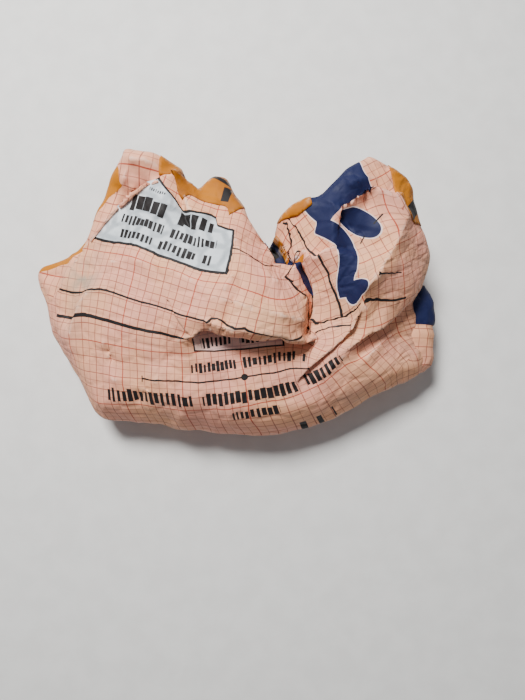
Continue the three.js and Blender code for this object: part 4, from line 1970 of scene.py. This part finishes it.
# The spots run along the left shoulder's valley crease: their grey is plaster dust and painted shade.
DUST_AND_SHADE_SPOTS = (DustAndShadeSpot(-148, 18, 18, 1.0), DustAndShadeSpot(-154, -6, 13, 0.5), DustAndShadeSpot(-160, -28, 14, 0.4))


def dust_and_shade_on(points: Array) -> Array:
    """Settles plaster dust and painted shade on its spots.

    Args:
        points: N x 3 points.

    Returns:
        How much dust and painted shade each point has, from 0 to 1.
    """
    dust_and_shade = np.zeros(len(points))
    for spot in DUST_AND_SHADE_SPOTS:
        distance = np.linalg.norm(points[:, :2] - (spot.x, spot.y), axis=1)
        dust_and_shade = np.maximum(dust_and_shade, spot.share * np.exp(-((distance / spot.reach) ** 2)))
    return dust_and_shade


@dataclass
class CoverSheet:
    """The orange paper glued over the folded bottom, seen on the sack's north side.

    It lies a gap over the skin in its strips, down to low_edge. Along the loose edge, whose third
    numbers say how far, it stands up and leans out.
    """

    skin: SackSkin
    strips: tuple[Places, ...]
    loose_edge: Points
    gap: float = 0.45
    thickness: float = 0.4
    low_edge: float = 12.0
    loose_reach: float = 9.0
    loose_power: float = 1.5
    loose_lean: float = 0.15

    def build(self) -> bpy.types.Object:
        """Makes the piece that stands for the bottom cover sheet.

        Returns:
            The piece.
        """
        skin = self.skin
        faces, flats = self._covered_faces()
        used, corners = np.unique(np.concatenate(faces), return_inverse=True)
        count = len(used)
        base = skin.points[used] + self._lift_of(skin.points[used])
        normals = normals_of(skin.points, skin.faces)[used]
        points = np.concatenate([base + normals * (self.gap + self.thickness), base + normals * self.gap])
        ends = np.cumsum([len(face) for face in faces])
        outer = [part.tolist() for part in np.split(corners.ravel(), ends[:-1])]
        inner = [[corner + count for corner in reversed(face)] for face in outer]
        rim, rim_flat = self._rim(outer, flats, count)
        flat = np.concatenate(flats + [part[::-1] for part in flats] + rim_flat)
        faces = outer + inner + rim
        piece = mesh_object("cover_sheet_paper", points, faces, flat, OrangePaper().material())
        worn = worn_creases(skin.points, skin.faces)[used]
        store(piece, "worn", np.concatenate([worn, worn]))
        # The same dust and painted shade spots, which barely reach the sheet.
        store(piece, "dust_and_shade", dust_and_shade_on(points))
        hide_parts("bottom_cover_sheet")
        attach(piece, "root")
        return piece

    def _covered_faces(self) -> tuple[list[Array], list[Array]]:
        """Finds what the sheet covers.

        Returns:
            The skin's faces under the sheet, and the flat places of their corners.
        """
        skin, face = self.skin, self.skin.face
        centres = face.plan[face.faces].mean(1)
        rim_at = face.plan[face.rim_points]
        middles = (rim_at + np.roll(rim_at, -1, axis=0)) / 2.0
        on_top, on_rim = np.zeros(len(centres), bool), np.zeros(len(middles), bool)
        for strip in self.strips:
            on_top |= within(centres, np.array(strip))
            on_rim |= within(middles, np.array(strip))
        high = skin.points[skin.sides, 2].min(1) > self.low_edge
        on_side = np.tile(on_rim, skin.levels) & high
        faces = list(face.faces[on_top]) + list(skin.sides[on_side])
        return faces, list(skin.top_flat[on_top]) + list(skin.side_flat[on_side])

    def _lift_of(self, points: Array) -> Array:
        """Lifts the sheet at its loose edge.

        Args:
            points: N x 3 points.

        Returns:
            N x 3 moves.
        """
        edge = Run(self.loose_edge)
        distance, share = edge.nearest(points[:, :2])
        near = np.clip(1.0 - np.abs(distance) / self.loose_reach, 0.0, 1.0) ** self.loose_power
        rise = np.interp(share, np.linspace(0.0, 1.0, len(edge.points)), edge.points[:, 2])
        return np.stack([np.zeros(len(points)), self.loose_lean * rise * near, rise * near], axis=1)

    @staticmethod
    def _rim(outer: list[list[int]], flats: list[Array],
             count: int) -> tuple[list[list[int]], list[Array]]:
        """Closes the sheet's edges.

        Args:
            outer: the sheet's outer faces.
            flats: the flat places of their corners.
            count: how many points its outer side has.

        Returns:
            The edge's faces, and the flat places of their corners.
        """
        edges = {}
        for face, flat in zip(outer, flats):
            for corner, start in enumerate(face):
                after = (corner + 1) % len(face)
                edges[start, face[after]] = (flat[corner], flat[after])
        rim, rim_flat = [], []
        for (start, end), (one, two) in edges.items():
            if (end, start) not in edges:
                rim.append([end, start, start + count, end + count])
                rim_flat.append(np.array([two, one, one, two]))
        return rim, rim_flat


@dataclass(frozen=True)
class Lamp:
    """A square area light: where it hangs and its side in metres, and its power in watts."""

    name: str
    at: Point
    size: float
    power: float


@dataclass(frozen=True)
class Floor:
    """The floor's finish, plain and pale with very soft spots."""

    spots_per_metre: float = 40.0
    spot_detail: float = 3.0
    spot_range: tuple[float, float] = (0.3, 0.7)
    dark: Colour = linear(216, 214, 210)
    light: Colour = linear(222, 220, 216)
    roughness: float = 0.8
    depth: float = 0.1

    def material(self) -> bpy.types.Material:
        """Builds the finish.

        Returns:
            The material.
        """
        bench = Bench("floor")
        place = bench.node("ShaderNodeTexCoord", output="Object")
        spots = bench.node("ShaderNodeTexNoise", None, {
            "Vector": place, "Scale": self.spots_per_metre, "Detail": self.spot_detail})
        colour = bench.blend(spots.ramp(*self.spot_range), self.dark, self.light)
        return bench.surface(colour, self.roughness, spots, self.depth)


@dataclass(frozen=True)
class Studio:
    """A plain pale floor, soft lights and the photograph's camera."""

    lens: float = 27.05
    sensor: float = 36.0
    tilt: float = 4.3
    near_clip: float = 0.01
    camera_at: Point = (25.5, -87.7, 586.0)
    floor_side: float = 6.0
    lit_at: Point = (0.0, 0.0, 0.08)
    lamps: tuple[Lamp, ...] = (
        Lamp("key", (-0.35, 0.65, 1.25), 0.4, 44.0),
        Lamp("fill", (1.3, 0.2, 1.3), 1.6, 1.2),
        Lamp("front", (0.1, -1.5, 1.1), 1.6, 1.2),
    )
    sky: Colour = (0.82, 0.9, 1.0)
    sky_strength: float = 0.18

    def build(self) -> None:
        """Adds everything that isn't the sack."""
        self._floor()
        self._world()
        for lamp in self.lamps:
            self._light(lamp)
        self._camera()

    def _floor(self) -> None:
        """Adds the floor."""
        material = Floor().material()
        half = self.floor_side / 2.0
        mesh = bpy.data.meshes.new("floor")
        corners = [(-half, -half, 0.0), (half, -half, 0.0), (half, half, 0.0), (-half, half, 0.0)]
        mesh.from_pydata(corners, [], [(0, 1, 2, 3)])
        mesh.materials.append(material)
        floor = bpy.data.objects.new("floor", mesh)
        bpy.context.scene.collection.objects.link(floor)

    def _world(self) -> None:
        """Adds soft light from all round."""
        world = bpy.data.worlds.new("studio")
        world.use_nodes = True
        sky = world.node_tree.nodes["Background"].inputs
        sky["Color"].default_value = (*self.sky, 1.0)
        sky["Strength"].default_value = self.sky_strength
        bpy.context.scene.world = world

    def _light(self, lamp: Lamp) -> None:
        """Adds an area light that faces the sack.

        Args:
            lamp: the light.
        """
        data = bpy.data.lights.new(lamp.name, "AREA")
        data.shape, data.size, data.energy = "SQUARE", lamp.size, lamp.power
        hung = bpy.data.objects.new(lamp.name, data)
        hung.location = lamp.at
        hung.rotation_euler = (Vector(self.lit_at) - Vector(lamp.at)).to_track_quat("-Z", "Y").to_euler()
        bpy.context.scene.collection.objects.link(hung)

    def _camera(self) -> None:
        """Adds the camera, which looks down on the sack as in the photograph."""
        data = bpy.data.cameras.new("camera")
        data.sensor_fit, data.sensor_height, data.lens = "VERTICAL", self.sensor, self.lens
        data.clip_start = self.near_clip
        camera = bpy.data.objects.new("camera", data)
        camera.location = Vector(self.camera_at) * MM
        camera.rotation_euler = (math.radians(self.tilt), 0.0, 0.0)
        bpy.context.scene.collection.objects.link(camera)
        bpy.context.scene.camera = camera


RIM = tuple(RimPoint(*row) for row in (
    (-103, 136, 108, 34, 8, 4), (-113, 125, 101, 34, 7, 5), (-121, 116, 97, 34, 7, 5),
    (-127, 103, 91, 32, 7, 5), (-131, 93, 87, 30, 7, 5), (-136, 86, 83, 28, 7, 5),
    (-143, 70, 77, 26, 6, 4), (-148, 60, 74, 24, 6, 4), (-158, 51, 70, 22, 5, 3),
    (-167, 44, 66, 22, 5, 3), (-176, 41, 61, 22, 5, 3), (-188, 38, 57, 22, 5, 3),
    (-200, 36, 53, 24, 5, 3), (-205, 31, 50, 24, 7, 5), (-204, 22, 48, 24, 10, 8),
    (-200, 6, 46, 22, 16, 14), (-196, -11, 45, 22, 20, 18), (-193, -27, 44, 22, 24, 22),
    (-184, -45, 44, 22, 24, 22), (-175, -60, 44, 22, 24, 22), (-165, -76, 44, 22, 24, 22),
    (-155, -96, 44, 22, 22, 20), (-147, -111, 44, 22, 20, 17), (-137, -119, 44, 22, 22, 18),
    (-126, -121, 44, 22, 26, 22), (-97, -123, 44, 22, 30, 26), (-69, -126, 45, 22, 32, 28),
    (-44, -130, 46, 22, 34, 30), (-20, -133, 46, 22, 34, 30), (10, -135, 46, 22, 34, 30),
    (30, -135, 46, 22, 34, 30), (46, -132, 46, 22, 32, 28), (70, -127, 46, 22, 30, 26),
    (99, -118, 46, 22, 28, 24), (124, -104, 46, 22, 26, 20), (136, -96, 46, 22, 26, 20),
    (154, -88, 46, 22, 22, 18), (175, -78, 46, 24, 18, 14), (186, -72, 46, 24, 16, 12),
    (191, -57, 48, 26, 14, 10), (189, -43, 50, 26, 14, 10), (187, -31, 52, 24, 12, 9),
    (184, -16, 55, 22, 10, 7), (177, 0, 60, 20, 9, 6), (183, 11, 62, 20, 10, 7),
    (190, 26, 64, 20, 12, 9), (195, 41, 67, 22, 12, 9), (195, 50, 70, 24, 10, 7),
    (187, 63, 77, 26, 8, 5), (178, 76, 83, 27, 8, 5), (175, 86, 87, 28, 8, 5), (171, 94, 90, 29, 7, 4),
    (171, 104, 93, 30, 7, 4), (163, 113, 98, 31, 7, 4), (150, 118, 105, 32, 7, 4),
    (134, 126, 110, 34, 8, 4), (124, 129, 114, 34, 8, 4), (102, 116, 117, 28, 8, 5),
    (86, 101, 113, 22, 7, 5), (77, 93, 110, 16, 7, 4), (66, 89, 107, 12, 6, 4), (51, 84, 102, 8, 6, 4),
    (43, 77, 97, 6, 5, 3), (38, 67, 91, 3, 4, 3), (38, 60, 85, 1, 3, 2), (35, 57, 50, 0, 3, 1),
    (31, 55, 50, 0, 3, 1), (27, 53, 92, 1, 3, 2), (19, 64, 97, 4, 5, 3), (7, 82, 96, 8, 6, 4),
    (-5, 103, 93, 14, 6, 4), (-10, 116, 88, 18, 5, 4), (-22, 119, 88, 20, 5, 4),
    (-30, 109, 91, 20, 5, 3), (-35, 103, 92, 20, 5, 3), (-44, 105, 92, 22, 5, 3),
    (-52, 109, 94, 24, 5, 3), (-51, 121, 96, 26, 5, 3), (-66, 128, 102, 30, 6, 3),
    (-76, 132, 107, 32, 7, 3),
))

CREASES = {
    "bulge_crown": ((-115, 31, 106), (-77, 28, 118), (-43, 14, 127), (-16, -1, 133), (15, -10, 134),
        (45, -14, 128), (62, -17, 110)),
    "bulge_front": ((-38, -12, 125), (-20, -19, 130), (0, -25, 131.5), (15, -27, 131), (35, -29, 126.5),
        (50, -31, 117), (60, -32, 106)),
    "bulge_north": ((-2, 59, 114), (5, 37, 123), (18, 27, 121), (40, 12, 120)),
    "bulge_corner": ((54, 27, 98), (46, 17, 107), (40, 12, 120)),
    "bulge_brow": ((46, 17, 107), (57, 8, 106), (66, -1, 103), (69, -12, 97), (67, -27, 87)),
    "left_horn_ridge": ((-104, 130, 113), (-101, 118, 113), (-105, 107, 110), (-108, 103, 103)),
    "left_horn_pinch": ((-122, 96, 96), (-113, 100, 99), (-106, 101, 102), (-97, 101, 104)),
    "left_horn_crown": ((-96, 124, 117), (-84, 123, 118), (-74, 120, 112)),
    "label_roll": ((-72, 104, 112), (-84, 99, 113), (-97, 93, 109), (-112, 82, 104), (-126, 69, 98),
        (-140, 54, 92)),
    "label_valley": ((-52, 89, 104), (-49, 81, 102), (-42, 63, 106), (-36, 43, 115), (-30, 30, 121)),
    "label_ridge": ((-46, 88, 107), (-42, 78, 110), (-34, 62, 113), (-28, 45, 120)),
    "label_step": ((-20, 76, 103), (-16, 66, 106), (-14, 55, 114), (-17, 40, 121)),
    "label_upper": ((-60, 84, 114), (-72, 70, 114), (-90, 62, 110)),
    "north_strip": ((-34, 88, 101), (-14, 84, 101), (4, 76, 101)),
    "streak": ((-19, -24, 124), (-15, -7, 131), (-7, 5, 134), (0, 14, 131)),
    "streak_foot": ((-8, -28, 121), (-3, -10, 129), (5, 2, 131)),
    "shoulder_valley": ((-143, 29, 85), (-149, 7, 83.5), (-157, -6, 78.5), (-165, -22, 72)),
    "shoulder_ridge": ((-112, 6, 103), (-124, 7, 101), (-136, 7, 97), (-147, -4, 94), (-153, -16, 90),
        (-160, -32, 82)),
    "shoulder_pinch": ((-77, -6, 114), (-97, -26, 104), (-114, -46, 92), (-122, -57, 85)),
    "shoulder_dimple": ((-124, -43, 92), (-120, -52, 84), (-119, -60, 82)),
    "west_edge": ((-160, 40, 76), (-167, 31, 77), (-171, 18, 77), (-174, 8, 75), (-178, -10, 70)),
    "west_tip": ((-200, 29, 55), (-190, 27, 57), (-178, 27, 64)),
    "lip_tail": ((-66, -31, 113), (-56, -32, 116), (-49, -38, 113)),
    "apron_ridge": ((-118, -78, 86), (-71, -92, 88), (-33, -93, 92), (9, -88, 93), (40, -82, 91)),
    "apron_fold": ((-32, -55, 102), (-29, -72, 98)),
    "apron_left": ((-60, -58, 98), (-75, -80, 94), (-95, -98, 74)),
    "centre_spine": ((86, 22, 108), (87, 8, 102), (92, -4, 99), (98, -14, 99)),
    "centre_low": ((79, 12, 97), (81, -3, 94), (79, -16, 90)),
    "panel_border": ((72, -29, 86), (82, -26, 91), (99, -20, 98), (108, -14, 104), (114, -8, 109)),
    "long_ridge": ((161, 72, 112), (153, 57, 119), (147, 45, 124), (137, 29, 128), (129, 18, 129),
        (122, 8, 128), (117, -1, 119)),
    "horn_brow": ((123, 88, 126), (132, 84, 125), (142, 82, 121), (152, 79, 117), (161, 72, 112)),
    "right_horn_crown": ((70, 80, 112), (82, 84, 119), (90, 80, 124), (90, 59, 120), (89, 44, 115)),
    "orange_edge": ((147, 95, 110), (146, 104, 110), (141, 118, 108)),
    "orange_fold": ((163, 108, 98), (158, 96, 102), (160, 84, 103)),
    "pocket": ((102, 66, 112), (107, 60, 108), (114, 54, 108), (122, 53, 111)),
    "pocket_floor": ((94, 41, 112), (104, 42, 109), (114, 43, 109), (131, 44, 114), (144, 45, 122)),
    "ramp": ((96, 34, 118), (116, 33, 116), (133, 36, 122)),
    "pocket_rise": ((121, 86, 121), (123, 76, 115), (131, 66, 116), (142, 56, 121)),
    "right_facet": ((183, 38, 80), (160, 20, 96), (142, 1, 102), (128, -12, 103)),
    "facet_top": ((159, 62, 112), (170, 66, 98), (179, 68, 87)),
    "flap_crown": ((104, 98, 125), (118, 104, 124), (130, 106, 118)),
    "lower_lobe_crest": ((166, -22, 72), (150, -36, 82), (130, -52, 86), (112, -72, 86), (101, -90, 78),
        (97, -106, 66)),
    "lobe_ridge": ((94, -60, 93), (92, -66, 93), (80, -76, 91), (86, -86, 84), (94, -97, 73)),
    "lobe_dimple": ((118, -52, 84), (128, -50, 82), (136, -43, 83)),
    "lobe_corner": ((176, -12, 64), (178, -28, 62), (180, -46, 58)),
    "throat_west": ((27, 53, 95), (36, 37, 99), (38, 31, 98), (47, 30, 95), (55, 28, 94)),
    "throat_west_foot": ((31, 54, 50), (39, 39, 58), (41, 34, 66), (49, 32, 78)),
    "throat_east": ((38, 59, 86), (45, 53, 90), (49, 45, 92), (52, 37, 92), (56, 31, 91)),
    "throat_east_foot": ((35, 56, 50), (42, 50, 56), (46, 43, 64), (49, 36, 76)),
}

TUCKS = (
    Tuck("lip", ((-50, -39, 113), (-43, -42, 115), (-37, -41, 117), (-31, -35, 119), (-20, -36, 120),
        (-15, -39, 120), (-2, -41, 121), (9, -42, 120), (18, -44, 118), (30, -43, 116), (43, -41, 112),
        (46, -44, 110), (56, -46, 106), (65, -46, 101), (72, -41, 95), (76, -34, 90)),
        11.0, 20.0, 30.0, 0.22, 0.14),
    Tuck("slit", ((61, 29, 103), (69, 18, 100), (73, 8, 97), (74, -3, 94), (73, -14, 90),
        (68, -26, 86)), 4.0, 16.0, 14.0, 0.12, 0.1, 3.0),
    Tuck("ledge", ((92, 42, 115), (87, 41, 115), (81, 39, 115), (76, 34, 114), (70, 37, 113),
        (63, 41, 110), (58, 38, 104)), 4.0, 11.0, 14.0, 0.3, 0.12, 3.0),
    Tuck("ribbon", ((53, -90, 84), (61, -77, 88), (71, -67, 91), (84, -56, 95), (93, -49, 98),
        (100, -40, 100), (108, -28, 103), (112, -18, 106), (116, -9, 110)),
        6.0, 6.5, 14.0, 0.3, 0.12, 3.2),
    Tuck("upper_lobe", ((97, -57, 94), (103, -52, 95), (108, -48, 96), (116, -43, 97), (123, -38, 98),
        (132, -34, 97), (140, -30, 95), (149, -22, 92), (157, -14, 88), (170, -1, 82)),
        8.0, 11.0, 20.0, 0.4, 0.0, 3.6),
    Tuck("face_edge", ((-54, 112, 106), (-59, 111, 110), (-67, 110, 111), (-74, 107, 110),
        (-84, 104, 109), (-97, 98, 104), (-112, 87, 99), (-126, 74, 94), (-142, 57, 88),
        (-150, 49, 84)), 8.0, 11.0, 20.0, 0.05, 0.0, 4.0),
    Tuck("right_horn_flap", ((152, 89, 114), (146, 91, 118), (135, 93, 124), (125, 94, 128),
        (118, 91, 128), (111, 86, 128), (104, 80, 127), (97, 75, 124)), 7.0, 14.0, 16.0, 0.1, 0.1, 3.6),
)

SHEET_STRIPS = (
    ((-72, 150), (-72, 112), (-59, 112), (-54, 96), (-53, 91), (-48, 86), (-43, 91), (-27, 87), (-12, 85),
     (-8, 83), (-6, 75), (3, 81), (7, 84), (-6, 150)),
    ((26, 54), (36, 38), (38, 31.5), (47, 31.5), (55, 29), (55.5, 33), (52, 37), (49, 45), (45, 53),
     (39, 61)),
    ((30, 66), (40, 71), (48, 73), (59, 74), (65, 78), (71, 83), (69, 96), (52, 96), (34, 84)),
    ((139, 150), (144, 118), (146, 106), (148, 95), (152, 88), (156, 79), (163, 73), (170, 69), (180, 72),
     (200, 72), (200, 150)),
)

ORANGE_AREAS = (
    ((-100, 150), (-113, 125), (-110, 118), (-111, 108), (-108, 103), (-113, 100), (-122, 96), (-128, 90),
     (-138, 78), (-143, 70), (-160, 90), (-130, 140)),
    ((-148, 60), (-152, 49), (-161, 41), (-166, 36), (-176, 36), (-186, 33.5), (-198, 31.5), (-205, 31),
     (-210, 60), (-160, 70)),
    ((56.5, 29.5), (63.5, 34), (66, 28), (61.5, 28.7)),
)

BLUE_AREAS = (
    ((56.5, 28.5), (57, 25), (62, 17), (67, 9), (72, 4), (75, 2.5), (75, 5), (74, 8), (70, 18.3),
     (62, 29.3)),
)

DARK_AREAS = (
    ((50.4, 12.4), (55.6, 6.4), (62.4, 2.2), (66.4, -0.6), (68.2, -4), (68.4, -9), (69.1, -15),
     (68.6, -22), (66.2, -29), (67.8, -29.8), (70.4, -22.4), (71, -15), (70.2, -8.6), (70, -3.2),
     (67.8, 0.8), (63.6, 3.8), (56.8, 7.8), (51.9, 13.6)),
)

PRINT_EDGES = (
    DARK_AREAS[0],
    ((57, 25), (62, 17), (67, 9), (72, 4), (74.5, 2.7)),
    ORANGE_AREAS[2],
    ORANGE_AREAS[0][1:10],
    ORANGE_AREAS[1][:8],
)

PANELS = (Panel("face_edge", (-95, 120), (-500, 0), 0.72),)

LOOSE_EDGE = ((-72, 112, 0), (-66, 112.5, 3.5), (-59, 113, 6.0), (-53, 114, 5.0), (-48, 118, 2.0))

EAST_FOLD = SideFold((
    (176, 18, 50), (186, 19, 46), (195, 19, 44), (200, 11, 44), (203, 2, 44), (204, -10, 43),
    (204, -20, 43), (201, -23, 42), (204, -32, 42), (202, -46, 41), (203, -54, 40), (201, -62, 39),
    (194, -68, 38), (184, -73, 38),
))

MARKS = (
    Mark(0, 0, ((36, 19), (32, 5), (25, -20), (20, -32))),
    Mark(0, 0, ((2, -55), (6, -64), (9, -77), (12, -102), (13, -122))),
    Mark(1, 0, ((-62, 26), (-46, 18), (-30, 10), (-6, 7), (15, 0), (32, -7), (60, -7))),
    Mark(1, -150, ((-36, -110), (-13, -108), (9, -105), (37, -98))),
    Mark(1, 12, ((-139, 56), (-118, 50), (-82, 43), (-66, 31), (-50, 27), (-36, 21), (-26, 18),
        (-6, 15))),
    Mark(0, -42, ((-1, 59), (-4, 40), (-6, 15))),
    Mark(1, -42, ((-173, 8), (-158, 4), (-147, 6), (-136, 7), (-124, 6), (-112, 3), (-98, -4),
        (-84, -10), (-71, -14), (-58, -19), (-44, -24), (-27, -29), (-18, -24), (-7, -31), (3, -33),
        (25, -38), (45, -40))),
    Mark(1, -42, ((67, -29), (83, -25), (99, -20), (111, -13), (116, -8))),
    Mark(1, -42, ((127, 14), (150, 18))),
    Mark(1, -69, ((-176, -16), (-163, -20), (-151, -15), (-113, -27), (-85, -35), (-59, -42))),
    Mark(1, -69, ((77, -34), (92, -29), (106, -27))),
    Mark(1, -69, ((118, -9), (131, -6), (142, -5), (157, -1))),
    Mark(1, -120, ((-91, -79), (-54, -81), (-34, -84), (-8, -81), (8, -79), (26, -75), (46, -71),
        (66, -67))),
    Mark(1, 0, ((106, 20), (130, 31), (160, 47))),
    Mark(1, 50, ((128, 86), (147, 81), (162, 71))),
    Mark(0, 100, ((102, 42), (107, 21))),
    Mark(0, 150, ((143, 45), (158, 68))),
    Mark(0, 100, ((105, -55), (120, -66), (135, -76), (150, -86))),
    Mark(0, 125, ((136, -47), (151, -57), (166, -67))),
    Mark(0, 150, ((155, -29), (167, -37), (180, -46))),
    Mark(1, -150, ((84, -87), (96, -73), (109, -57))),
    Mark(1, -200, ((148, -88), (160, -73), (175, -54))),
    Mark(0, 58, ((46, 70), (50, 61), (53, 50), (50, 44))),
    Mark(0, 58, ((46, 17), (57, 8), (66, -1), (69, -12), (67, -24))),
    Mark(0, 82, ((49, 72), (56, 63), (62, 51), (68, 42))),
    Mark(0, 82, ((77, 31), (86, 21), (88, 10), (93, -1), (99, -17))),
)

PLEATS = tuple(Pleat(x, y) for x, y in (
    (-103, 136), (-127, 102), (-148, 60), (-205, 30), (-196, -10), (-175, -60), (-145, -114),
    (-90, -124), (-30, -132), (40, -134), (103, -116), (160, -86), (190, -64), (186, -27), (177, 0),
    (195, 48), (176, 82), (150, 118), (110, 121), (70, 91), (42, 74), (-8, 112), (-34, 103), (-66, 128),
)) + tuple(Pleat(x, y, 0.0) for x, y in ((38, 60), (31, 55), (20, 62)))


def main() -> None:
    """Builds every piece in order, and logs how many points and faces they have."""
    logging.basicConfig(level=logging.INFO, format="%(name)s: %(message)s", stream=sys.stdout)
    face = UpperFace(RIM, CREASES, TUCKS, SHEET_STRIPS + PRINT_EDGES)
    log.info("upper face: %d points, %d triangles", len(face.points), len(face.faces))
    skin = SackSkin(face, MARKS, PLEATS, PANELS)
    log.info("skin: %d points", len(skin.points))
    tube = PaperTube(skin, EAST_FOLD, ORANGE_AREAS, BLUE_AREAS, DARK_AREAS)
    for part in (tube, CoverSheet(skin, SHEET_STRIPS, LOOSE_EDGE)):
        piece = part.build()
        log.info("%s: %d faces", piece.name, len(piece.data.polygons))
    Studio().build()
    bpy.context.view_layer.update()


if __name__ == "__main__":
    main()
